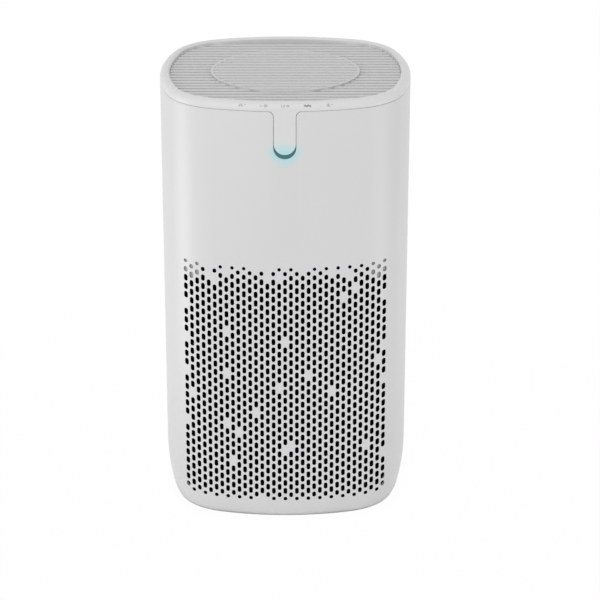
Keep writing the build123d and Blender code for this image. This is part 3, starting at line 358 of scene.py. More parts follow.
@dataclass(frozen=True)
class SmokedAcrylic(Finish):
    """Clear acrylic with a dark dye: glossy, with the lamp's colour deep in it."""

    light: str = "#4d9aa4"
    strength: float = 0.05
    coat: float = 0.4
    coat_roughness: float = 0.08

    def extras(self, tree: Tree, coords: Socket, shader: Node) -> None:
        """Lets a little light through and adds a gloss coat.

        Args:
            tree: Not used.
            coords: Not used.
            shader: The surface shader that is set.
        """
        shader.inputs["Coat Weight"].default_value = self.coat
        shader.inputs["Coat Roughness"].default_value = self.coat_roughness
        shader.inputs["Emission Color"].default_value = linear(self.light)
        shader.inputs["Emission Strength"].default_value = self.strength


# Finishes by the record's slot name
FINISHES: dict[str, Finish] = {
    # satin ABS from a spark-eroded mould: a soft broad sheen and a grain that is felt more than seen
    "white_shell": LitPlastic("satin_moulded_abs", "#dcdcdd", "#d9d9da", 0.42, ior=1.65),
    # the same plastic on the rim, painted a shade lighter for the extra light its top gets
    "white_rim": LitPlastic("satin_moulded_abs_rim_painted_light", "#e0e0e0", "#dddddd", 0.42, ior=1.65),
    # the same plastic in the grille, painted a shade greyer to stand in for the shade in its recess
    "white_grille": Finish("moulded_abs_grille_painted_shade", "#d3d3d3", "#d0d0d0", 0.5),
    # dyed acrylic: near black teal until the lamp behind it is bright
    "light_guide": SmokedAcrylic("smoked_cast_acrylic", "#285c62", "#346a70", 0.16, drift_size=6.0),
    # black nylon thread: matt, and its weave traps light, so the holes look empty
    "black_net": WovenNet("woven_black_nylon", "#040404", "#060606", 0.95, relief=0.1, ior=1.1),
    # unpainted ABS under the tower: mid grey with a dull sheen
    "grey_base": Finish("moulded_abs_base", "#b9b9ba", "#b3b3b4", 0.5),
    # moulded rubber: dull, with dust-grey high spots
    "foot_rubber": Finish("moulded_rubber", "#2a2a2b", "#353535", 0.85, drift_size=4.0, relief=0.05),
    # glass-filled polypropylene: faint waxy sheen and flow marks
    "fan_plastic": Finish("moulded_polypropylene_black", "#454548", "#3d3d40", 0.45, drift_size=25.0),
    "duct_plastic": Finish("moulded_polypropylene_grey", "#c6c6c7", "#bdbdbe", 0.5, drift_size=35.0),
    # green lacquer over glass cloth: glossy with the weave under it
    "board": WovenNet("soldermask_on_glass_epoxy", "#14532f", "#1a6038", 0.3, relief=0.02),
    # moulding epoxy: charcoal and matt
    "chip": Finish("moulded_epoxy", "#262626", "#2e2e2e", 0.7),
    # undyed nylon: ivory, a little waxy
    "header": Finish("moulded_nylon", "#e0dcd0", "#d6d1c2", 0.5),
    # water-clear resin: wet gloss, lit from inside
    "led": SmokedAcrylic("clear_lamp_resin", "#cfeef2", "#b9e4ea", 0.12, light="#8fe0ea", strength=0.6),
    # amber film: smooth with a faint ripple
    "flex": Finish("polyimide_film", "#b5752a", "#a86820", 0.25, grain_size=3.0, relief=0.02),
    # enamel over copper wire: warm, glossy and ridged along the wire
    "copper": DrawnMetal("enamelled_copper", "#c8784a", "#b96a3c", 0.3, metallic=1.0, grain_size=0.5),
    # zinc plate: bright grey with fine turned marks
    "steel": DrawnMetal("zinc_plated_steel", "#c9cbcd", "#bcbfc2", 0.3, metallic=1.0, grain_size=0.6),
    # dipped black coat: even and half glossy
    "motor_steel": Finish("electrocoated_steel", "#4a4a4c", "#424244", 0.4, drift_size=15.0),
    # pressed and fired powder: dark, dull and speckled
    "magnet": Finish("sintered_ferrite", "#4c4c4d", "#3e3e3f", 0.75, drift_size=3.0, relief=0.03),
    # glass-fibre paper: chalk white with long fibres
    "filter_paper": DrawnMetal("glass_fibre_paper", "#ecece8", "#e2e2dc", 0.95, relief=0.08),
    # poured polyurethane: soft black with a faint bloom
    "filter_frame": Finish("cast_polyurethane", "#3a3a3c", "#424244", 0.7, drift_size=20.0),
    # closed-cell foam: small pits and no gloss
    "foam": Finish("closed_cell_foam", "#2c2c2d", "#363637", 0.95, grain_size=1.5, relief=0.25),
    # black nylon: smooth, with a small dull highlight
    "jack_plastic": Finish("moulded_nylon_black", "#222223", "#2a2a2b", 0.5),
}
# painted shade in the blind holes: a matt grey, clearly greyer than the face, stands in for the shade inside
# them
SHADED_POCKET = Finish("abs_painted_pocket_shade", "#b2b2b3", "#a6a6a7", 0.8, drift_size=2.0, relief=0.02)
# screen ink on plastic: flat grey, a little uneven at its edge
INK = Finish("screen_printed_ink", "#bcbebf", "#b2b4b5", 0.6, drift_size=1.5, relief=0.003)
# a second, darker print of the same ink, for the key that is switched on
DARK_INK = Finish("screen_printed_ink_dark", "#8c8e90", "#979899", 0.6, drift_size=1.5, relief=0.003)


class Side(Enum):
    """Half of the tower, with the turn of its plan from the front half in degrees."""

    FRONT = 0.0
    REAR = 180.0

    @property
    def sign(self) -> float:
        """Returns -1 for the half at -Y and 1 for the half at +Y."""
        return -1.0 if self is Side.FRONT else 1.0


class Cut(Enum):
    """How two solids are joined into one mesh."""

    JOIN = "UNION"
    REMOVE = "DIFFERENCE"


def new_object(name: str, points: Sequence[Vector], faces: Sequence[Sequence[int]]) -> Piece:
    """Makes a mesh object with its faces turned outwards.

    Args:
        name: The object's name.
        points: The vertices in millimetres.
        faces: The vertex numbers of each face.

    Returns:
        The object, linked to the scene.
    """
    mesh = bpy.data.meshes.new(name)
    mesh.from_pydata([Vector(p) * MM for p in points], [], faces)
    work = bmesh.new()
    work.from_mesh(mesh)
    bmesh.ops.recalc_face_normals(work, faces=work.faces)
    work.to_mesh(mesh)
    work.free()
    made = bpy.data.objects.new(name, mesh)
    bpy.context.scene.collection.objects.link(made)
    return made


def combine(body: Piece, tool: Piece, cut: Cut) -> None:
    """Joins a tool to a body or cuts it out of it, and removes the tool.

    Args:
        body: The object that is changed.
        tool: A closed mesh.
        cut: Whether the tool is joined or removed.
    """
    modifier = body.modifiers.new("combine", "BOOLEAN")
    modifier.operation = cut.value
    modifier.solver = "MANIFOLD"
    modifier.object = tool
    graph = bpy.context.evaluated_depsgraph_get()
    mesh = bpy.data.meshes.new_from_object(body.evaluated_get(graph))
    body.modifiers.clear()
    old = body.data
    body.data = mesh
    bpy.data.meshes.remove(old)
    bpy.data.objects.remove(tool)


def tubes(name: str, stacks: Iterable[Sequence[Ring]]) -> Piece:
    """Skins stacks of rings into closed tubes.

    Args:
        name: The object's name.
        stacks: For each tube its rings in order, all with the same number of points.

    Returns:
        One object that holds all the tubes.
    """
    points: list[Vector] = []
    faces: list[list[int]] = []
    for rings in stacks:
        first = len(points)
        count = len(rings[0])
        last = first + (len(rings) - 1) * count
        for ring in rings:
            points += ring
        faces.append([first + n for n in range(count)])
        faces.append([last + n for n in reversed(range(count))])
        for base in range(first, last, count):
            for n in range(count):
                after = (n + 1) % count
                faces.append([base + n, base + after, base + count + after, base + count + n])
    return new_object(name, points, faces)


def prism(name: str, outline: Sequence[Point], near: float, far: float) -> Piece:
    """Returns a front view outline, given as x and z, drawn out between two places along Y."""
    return tubes(name, [[[Vector((x, y, z)) for x, z in outline] for y in (near, far)]])


def on_circle(centre: Point, radius: float, degrees: float) -> Point:
    """Returns the point of a circle at an angle."""
    angle = math.radians(degrees)
    return centre[0] + radius * math.cos(angle), centre[1] + radius * math.sin(angle)


def arc(centre: Point, radius: float, start: float, end: float, steps: int) -> list[Point]:
    """Returns points along an arc, with its ends, from a start to an end angle in degrees."""
    return [on_circle(centre, radius, start + (end - start) * n / steps) for n in range(steps + 1)]


def circle(centre: Point, radius: float) -> list[Point]:
    """Returns evenly spaced points round a circle."""
    return [on_circle(centre, radius, 360.0 * n / ROUND_STEPS) for n in range(ROUND_STEPS)]


def post(name: str, place: Point, radius: float, low: float, high: float) -> Piece:
    """Returns an upright round post between two heights."""
    outline = circle(place, radius)
    return tubes(name, [[[Vector((x, y, z)) for x, y in outline] for z in (low, high)]])


@dataclass(frozen=True)
class Station:
    """A place on the plan outline: the arc it lies on and its angle in radians."""

    centre: Point
    radius: float
    angle: float

    def point(self, inset: float, z: float) -> Vector:
        """Finds a point of the wall.

        Args:
            inset: How far the point lies inside the outline.
            z: The point's height.

        Returns:
            The point.
        """
        reach = self.radius - inset
        x = self.centre[0] + reach * math.cos(self.angle)
        y = self.centre[1] + reach * math.sin(self.angle)
        return Vector((x, y, z))


@dataclass(frozen=True)
class TowerPlan:
    """Plan outline of the tower: four shallow side arcs joined by tangent corner arcs."""

    half_width: float = 105.0
    side_radius: float = 200.0
    corner_radius: float = 57.0
    chord: float = 1.6

    @property
    def side_offset(self) -> float:
        """Returns how far a side arc's centre lies beyond the middle."""
        return self.side_radius - self.half_width

    @property
    def corner(self) -> float:
        """Returns how far a corner arc's centre lies from the middle, across and along."""
        reach = self.side_radius - self.corner_radius
        return (math.sqrt(2 * reach**2 - self.side_offset**2) - self.side_offset) / 2

    @property
    def side_angle(self) -> float:
        """Returns half the angle of a side arc, in radians."""
        return math.atan2(self.corner, self.corner + self.side_offset)

    def reach(self, x: float, inset: float) -> float:
        """Finds the front of an outline.

        Args:
            x: The place across.
            inset: How far the outline lies inside the plan's.

        Returns:
            How far the front lies from the middle plane there.
        """
        side = self.side_radius - inset
        if abs(x) <= side * math.sin(self.side_angle):
            return math.sqrt(side**2 - x**2) - self.side_offset
        turn = self.corner_radius - inset
        return self.corner + math.sqrt(turn**2 - (abs(x) - self.corner) ** 2)

    def half(self, side: Side) -> list[Station]:
        """Walks along the outline of one half.

        Args:
            side: The half that is walked.

        Returns:
            The stations, evenly spaced along each arc, each joint of two arcs once.
        """
        corner = self.corner
        lean = math.degrees(self.side_angle)
        turn = 90.0 - 2 * lean
        arcs = (
            ((self.side_offset, 0.0), self.side_radius, 180.0, lean),
            ((-corner, -corner), self.corner_radius, 180.0 + lean, turn),
            ((0.0, self.side_offset), self.side_radius, 270.0 - lean, 2 * lean),
            ((corner, -corner), self.corner_radius, 270.0 + lean, turn),
            ((-self.side_offset, 0.0), self.side_radius, 360.0 - lean, lean),
        )
        stations = []
        flip = -side.sign
        for number, (centre, radius, start, sweep) in enumerate(arcs):
            steps = math.ceil(radius * math.radians(sweep) / self.chord)
            for n in range(0 if number == 0 else 1, steps + 1):
                angle = math.radians(start + side.value + sweep * n / steps)
                stations.append(Station((flip * centre[0], flip * centre[1]), radius, angle))
        return stations

    def sweep(self, name: str, side: Side, loop: Sequence[Point]) -> Piece:
        """Sweeps a closed section, given as inset and height, round one half of the plan.

        Args:
            name: The object's name.
            side: The half that is swept.
            loop: The section's points in order.

        Returns:
            The closed object.
        """
        stations = self.half(side)
        count = len(loop)
        points = [station.point(inset, z) for station in stations for inset, z in loop]
        faces: list[list[int]] = []
        for ring in range(len(stations) - 1):
            for n in range(count):
                here = ring * count + n
                over = ring * count + (n + 1) % count
                faces.append([here, over, over + count, here + count])
        last = (len(stations) - 1) * count
        faces.append(list(range(count)))
        faces.append([last + n for n in range(count)])
        return new_object(name, points, faces)


@dataclass(frozen=True)
class WallProfile:
    """Section of the outer wall: a leaning face, a belly, a rolled toe and a lip that holds the base."""

    height: float = 370.0
    seam_z: float = 362.6
    taper: float = 2.2
    wall: float = 2.4
    thin_wall: float = 1.8
    thin_top_z: float = 231.0
    thin_end: float = 10.4
    belly_top_z: float = 42.0
    belly_radius: float = 150.0
    belly_end: float = 14.0
    bottom_z: float = 2.6
    lip_width: float = 3.0
    edge_round: float = 0.5
    edge_steps: int = 4
    belly_steps: int = 12
    toe_steps: int = 10
    inner_belly_steps: int = 8
    inner_toe_steps: int = 6

    @property
    def lean(self) -> float:
        """Returns the lean of the face in radians."""
        return math.atan(self.taper / self.height)

    def on_face(self, depth: float, z: float) -> Point:
        """Returns the section point at a depth under the leaning face."""
        return self.taper * (self.height - z) / self.height + depth / math.cos(self.lean), z

    @property
    def belly(self) -> Point:
        """Returns the centre of the belly arc."""
        inset, z = self.on_face(0.0, self.belly_top_z)
        return inset + self.belly_radius * math.cos(self.lean), z + self.belly_radius * math.sin(self.lean)

    def inset(self, z: float) -> float:
        """Finds the outer face.

        Args:
            z: The height.

        Returns:
            How far the face lies inside the plan outline there.
        """
        if z > self.belly_top_z:
            return self.on_face(0.0, z)[0]
        inset, middle = self.belly
        return inset - math.sqrt(self.belly_radius**2 - (z - middle) ** 2)

    def loop(self) -> list[Point]:
        """Draws the section.

        Returns:
            Its points, down the outside and up the inside.
        """
        lean = math.degrees(self.lean)
        belly = self.belly
        end = math.radians(self.belly_end)
        end_z = belly[1] - self.belly_radius * math.sin(end)
        toe_radius = (end_z - self.bottom_z) / (1 - math.sin(end))
        toe = (
            belly[0] - (self.belly_radius - toe_radius) * math.cos(end),
            self.bottom_z + toe_radius,
        )
        lip = toe[0] + self.lip_width
        inner_belly = self.belly_radius - self.thin_wall
        deep_belly = self.belly_radius - self.wall
        # angles run from 180 degrees, straight out, to 270 degrees, straight down
        edge = (self.on_face(self.edge_round, self.seam_z)[0], self.seam_z - self.edge_round)
        points = arc(edge, self.edge_round, 90.0, 180.0 - lean, self.edge_steps)
        points.append(self.on_face(0.0, self.thin_top_z))
        points += arc(belly, self.belly_radius, 180.0 + lean, 180.0 + self.belly_end, self.belly_steps)
        points += arc(toe, toe_radius, 180.0 + self.belly_end, 270.0, self.toe_steps)[1:]
        points += [(lip, self.bottom_z), (lip, self.bottom_z + self.wall)]
        points += arc(toe, toe_radius - self.wall, 270.0, 180.0 + self.belly_end, self.inner_toe_steps)
        points.append(on_circle(belly, deep_belly, 180.0 + self.thin_end))
        points += arc(belly, inner_belly, 180.0 + self.thin_end, 180.0 + lean, self.inner_belly_steps)
        points.append(self.on_face(self.thin_wall, self.thin_top_z))
        points.append(self.on_face(self.wall, self.thin_top_z))
        points.append(self.on_face(self.wall, self.seam_z))
        return points


@dataclass(frozen=True)
class Perforation:
    """Staggered upright slots with round ends, which shrink to dots near the top and the bottom edge.

    Each is cut along Y and opens downwards behind the face, so that its lower wall is out of sight.
    """

    columns: int = 17
    rows: int = 28
    pitch_x: float = 4.86
    pitch_z: float = 7.503
    top_z: float = 227.25
    stagger: float = 3.76
    width: float = 3.2
    length: float = 5.75
    dot: Point = (2.95, 3.5)
    growth: Point = (0.23, 0.36)
    steps: int = 7
    over: float = 1.0
    margin: float = 0.05
    depth: float = 3.0
    draft: float = 0.47
    pocket: float = 1.6

    # places in the lattice that are left closed, as column and row
    CLOSED = {
        (-17, 5), (-17, 9), (-17, 13), (-17, 19), (-16, 15), (-13, 0), (-13, 1), (-12, 1), (-10, 0),
        (-10, 7), (-10, 12), (-10, 18), (-9, 23), (-8, 19), (-5, 0), (-5, 17), (-4, 27), (-3, 0), (-3, 1),
        (-1, 1), (-1, 14), (0, 8), (0, 21), (1, 21), (3, 0), (4, 12), (8, 0), (8, 14), (10, 0), (10, 3),
        (11, 1), (12, 2), (14, 21), (16, 11), (17, 4), (17, 10), (17, 14), (17, 23),
    }
    # the top two rows of the outer three columns are shallow pockets
    POCKET_COLUMNS = {-17, -16, -15, 15, 16, 17}
    POCKET_ROWS = {0, 1}

    def size(self, z: float) -> Point:
        """Sizes a hole, which is shorter near the edges of the lattice.

        Args:
            z: The height of the hole's middle.

        Returns:
            The hole's width and length.
        """
        low = self.top_z - self.stagger - (self.rows - 1) * self.pitch_z
        under_top = self.dot[0] + self.growth[0] * (self.top_z - z)
        over_low = self.dot[1] + self.growth[1] * (z - low)
        length = min(self.length, under_top, over_low)
        return min(self.width, length), length

    def rings(self, x: float, z: float, blind: bool, plan: TowerPlan, profile: WallProfile) -> list[Ring]:
        """Draws the cutter of one hole of the front.

        Args:
            x: The hole's middle across.
            z: The hole's middle up.
            blind: Whether the hole ends within the wall.
            plan: The tower's plan.
            profile: The wall's section.

        Returns:
            The cutter's rings, from outside the wall inwards.
        """
        width, length = self.size(z)
        radius = width / 2
        # the caps of a dot would meet in one point, so they are kept apart
        half = max((length - width) / 2, self.margin)
        upper = arc((x, z + half), radius, 0.0, 180.0, self.steps)
        lower = arc((x, z - half), radius, 180.0, 360.0, self.steps)
        drops = [0.0] * len(upper) + [self.draft * self.depth] * len(lower)
        faces = [plan.reach(u, profile.inset(v)) for u, v in upper + lower]
        spots = list(zip(upper + lower, faces, drops))
        levels = (self.over, -self.pocket if blind else self.margin)
        made = [[Vector((u, -face - out, v)) for (u, v), face, _ in spots] for out in levels]
        if not blind:
            made.append([Vector((u, self.depth - face, v - drop)) for (u, v), face, drop in spots])
        return made

    def cutter(self, side: Side, blind: bool, plan: TowerPlan, profile: WallProfile) -> Piece:
        """Builds the cutters of the open holes or of the pockets of one half, as one object.

        Args:
            side: The half that is cut.
            blind: Whether the pockets are wanted.
            plan: The tower's plan.
            profile: The wall's section.

        Returns:
            The cutters.
        """
        flip = Vector((1.0, -side.sign, 1.0))
        stacks = []
        for column in range(-self.columns, self.columns + 1):
            top = self.top_z - (0.0 if column % 2 else self.stagger)
            for row in range(self.rows):
                pocket = column in self.POCKET_COLUMNS and row in self.POCKET_ROWS
                if (column, row) in self.CLOSED or pocket is not blind:
                    continue
                rings = self.rings(column * self.pitch_x, top - row * self.pitch_z, blind, plan, profile)
                stacks.append([[point * flip for point in ring] for ring in rings])
        return tubes("slots", stacks)


@dataclass(frozen=True)
class TongueNotch:
    """Opening in the front shell for the tongue and its crescent: a tab with rounded shoulders."""

    half_width: float = 9.35
    end_z: float = 331.9
    shoulder: float = 4.5
    top_z: float = 362.6
    over: float = 4.0
    near: float = 95.0
    far: float = 110.0
    end_steps: int = 40
    shoulder_steps: int = 8

    def outline(self) -> list[Point]:
        """Draws the opening as seen from the front.

        Returns:
            The outline as x and z, anticlockwise from the lower left.
        """
        reach = self.half_width + self.shoulder
        low = self.top_z - self.shoulder
        points = arc((0.0, self.end_z), self.half_width, 180.0, 360.0, self.end_steps)
        points += arc((reach, low), self.shoulder, 180.0, 90.0, self.shoulder_steps)
        points += [(reach, self.top_z + self.over), (-reach, self.top_z + self.over)]
        points += arc((-reach, low), self.shoulder, 90.0, 0.0, self.shoulder_steps)
        return points


@dataclass
class Shells:
    """Front and rear halves of the outer wall, with their flange, screw posts and holes."""

    plan: TowerPlan
    profile: WallProfile
    holes: Perforation
    notch: TongueNotch
    face: Material
    # the finish that paints shade into the pockets
    pocket: Material
    flange_z: float = 232.0
    flange_thickness: float = 3.0
    flange_inset: float = 9.0
    post_radius: float = 4.5
    post_length: float = 12.0
    bore_radius: float = 1.75
    post_place: float = 72.0
    jack_z: float = 11.0
    jack_radius: float = 4.8
    jack_near: float = 77.5
    jack_far: float = 110.0
    sharp_angle: float = 32.0

    # the place of the pockets' painted shade in the list of the shell's two finishes
    POCKET_INDEX = 1

    def blank(self, name: str, side: Side) -> Piece:
        """Builds a half wall with its flange and posts, before any opening is cut.

        Args:
            name: The object's name.
            side: The half to build.

        Returns:
            The closed object.
        """
        body = self.plan.sweep(name, side, self.profile.loop())
        inner = self.profile.on_face(self.profile.thin_wall, self.flange_z)[0]
        top = self.flange_z + self.flange_thickness
        ring = [(inner, self.flange_z), (inner, top), (self.flange_inset, top)]
        ring.append((self.flange_inset, self.flange_z))
        combine(body, self.plan.sweep("flange", side, ring), Cut.JOIN)
        for x in (-self.post_place, self.post_place):
            place = (x, side.sign * self.post_place)
            low = self.flange_z - self.post_length
            combine(body, post("screw_post", place, self.post_radius, low, top), Cut.JOIN)
            floor = top - self.post_length
            bore = post("screw_bore", place, self.bore_radius, floor, top + self.bore_radius)
            combine(body, bore, Cut.REMOVE)
        return body

    def build(self, side: Side) -> Piece:
        """Builds and cuts one half, which takes the place of the CAD node.

        Args:
            side: The half to build.

        Returns:
            The finished shell.
        """
        node = "front_shell" if side is Side.FRONT else "rear_shell"
        body = self.blank(f"{node}_moulding", side)
        if side is Side.FRONT:
            tool = prism("notch", self.notch.outline(), -self.notch.near, -self.notch.far)
        else:
            ring = circle((0.0, self.jack_z), self.jack_radius)
            tool = prism("jack_hole", ring, self.jack_near, self.jack_far)
        combine(body, tool, Cut.REMOVE)
        combine(body, self.holes.cutter(side, False, self.plan, self.profile), Cut.REMOVE)
        pockets = self.holes.cutter(side, True, self.plan, self.profile)
        for made in (body, pockets):
            made.data.materials.clear()
            made.data.materials.append(self.face)
            made.data.materials.append(self.pocket)
        # the pockets' faces get the painted shade
        for polygon in pockets.data.polygons:
            polygon.material_index = self.POCKET_INDEX
        combine(body, pockets, Cut.REMOVE)
        body.data.shade_smooth()
        body.data.set_sharp_from_angle(angle=math.radians(self.sharp_angle))
        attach(body, HOUSING)
        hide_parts(node)
        return body


class Mark(Enum):
    """The five printed marks, from left to right."""

    LOCK = 0
    TIMER = 1
    POWER = 2
    AIR = 3
    SLEEP = 4

    def strokes(self) -> list[list[Point]]:
        """Draws the mark.

        Returns:
            Its lines, as points across and up from its middle.
        """
        if self is Mark.LOCK:
            arch = arc((-0.6, -0.2), 1.0, 180.0, 0.0, 8)
            shackle = [(-1.6, -0.9)] + arch + [(0.4, -0.9)]
            return [[(-2.2, -0.9), (1.0, -0.9)], shackle, [(1.7, 0.4), (2.7, 0.4)]]
        if self is Mark.TIMER:
            dial = arc((1.4, 0.0), 1.1, 0.0, 360.0, 16)
            return [dial, [(1.4, 0.7), (1.4, 0.0), (2.0, -0.2)], [(-2.8, -0.3), (-0.9, -0.3)]]
        if self is Mark.POWER:
            ring = arc((-1.7, 0.0), 1.1, 130.0, 410.0, 16)
            bars = [[(0.6, v), (2.6, v)] for v in (0.5, -0.5)]
            return [ring, [(-1.7, 0.2), (-1.7, 1.2)]] + bars
        if self is Mark.AIR:
            wave = [(-2.4 + 0.34 * n, 0.4 * math.sin(0.9 * n)) for n in range(15)]
            return [[(u, v + 0.4) for u, v in wave], [(u, v - 0.5) for u, v in wave]]
        moon = arc((-0.4, 0.0), 1.1, 60.0, 300.0, 12) + arc((0.4, 0.0), 1.05, 247.0, 113.0, 8)
        return [moon, [(1.2, 0.3), (2.4, 0.3)]]


@dataclass
class KeyMarks:
    """Marks printed on the rounded front of the rim, one over each touch key."""

    plan: TowerPlan
    height: float = 370.0
    round_radius: float = 5.2
    pitch: float = 17.8
    place_angle: float = 60.0
    shift: float = 0.65
    scale: Point = (1.2, 0.85)
    line_width: float = 0.7
    ink_height: float = 0.03
    sink: float = 0.02

    def on_rim(self, across: float, up: float, lift: float) -> Vector:
        """Finds a point on the rim's rounded front edge.

        Args:
            across: The place across.
            up: The place up from the marks' line, along the rounding.
            lift: How far the point lies above the surface.

        Returns:
            The point.
        """
        angle = math.asin(across / self.plan.side_radius) - math.pi / 2
        slope = math.radians(self.place_angle) - up / self.round_radius
        reach = self.round_radius + lift
        inset = self.round_radius - reach * math.sin(slope)
        z = self.height - self.round_radius + reach * math.cos(slope)
        return Station((0.0, self.plan.side_offset), self.plan.side_radius, angle).point(inset, z)

    def ribbon(self, middle: float, line: Sequence[Point]) -> tuple[list[Vector], list[list[int]]]:
        """Turns one line of a mark into a thin closed strip on the rim.

        Args:
            middle: The x of the mark's middle.
            line: The line's points across and up.

        Returns:
            The strip's points and faces.
        """
        half = self.line_width / 2
        up = self.ink_height
        down = -self.sink
        points = []
        last = len(line) - 1
        for n, (u, v) in enumerate(line):
            before = line[max(n - 1, 0)]
            after = line[min(n + 1, last)]
            du = after[0] - before[0]
            dv = after[1] - before[1]
            length = math.hypot(du, dv) or 1.0
            side = (-dv / length * half, du / length * half)
            for sign, lift in ((1, up), (-1, up), (-1, down), (1, down)):
                points.append(self.on_rim(middle + u + sign * side[0], v + sign * side[1], lift))
        faces = [[0, 1, 2, 3], [4 * last + n for n in (3, 2, 1, 0)]]
        for n in range(last):
            for k in range(4):
                over = (k + 1) % 4
                faces.append([4 * n + k, 4 * n + over, 4 * n + 4 + over, 4 * n + 4 + k])
        return points, faces

    def build(self, mark: Mark, ink: Material) -> Piece:
        """Builds one mark.

        Args:
            mark: The mark to draw.
            ink: The material of the print.

        Returns:
            The mark, riding on the housing.
        """
        middle = (mark.value - (len(Mark) - 1) / 2) * self.pitch + self.shift
        points: list[Vector] = []
        faces: list[list[int]] = []
        for line in mark.strokes():
            more, sides = self.ribbon(middle, [(self.scale[0] * u, self.scale[1] * v) for u, v in line])
            faces += [[len(points) + n for n in face] for face in sides]
            points += more
        made = new_object(f"key_mark_{mark.name.lower()}", points, faces)
        made.data.materials.append(ink)
        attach(made, HOUSING)
        return made


@dataclass(frozen=True)
class SoftBox:
    """A large soft lamp: place, aim and size in metres."""

    name: str
    place: Place
    aim: Place
    size: Point
    watts: float

    def build(self) -> Piece:
        """Makes the lamp and points it at its aim.

        Returns:
            The lamp.
        """
        lamp = bpy.data.lights.new(self.name, "AREA")
        lamp.shape = "RECTANGLE"
        lamp.size, lamp.size_y = self.size
        lamp.energy = self.watts
        made = bpy.data.objects.new(self.name, lamp)
        made.location = self.place
        made.visible_camera = False
        made.rotation_euler = (Vector(self.aim) - Vector(self.place)).to_track_quat("-Z", "Y").to_euler()
        bpy.context.scene.collection.objects.link(made)
        return made


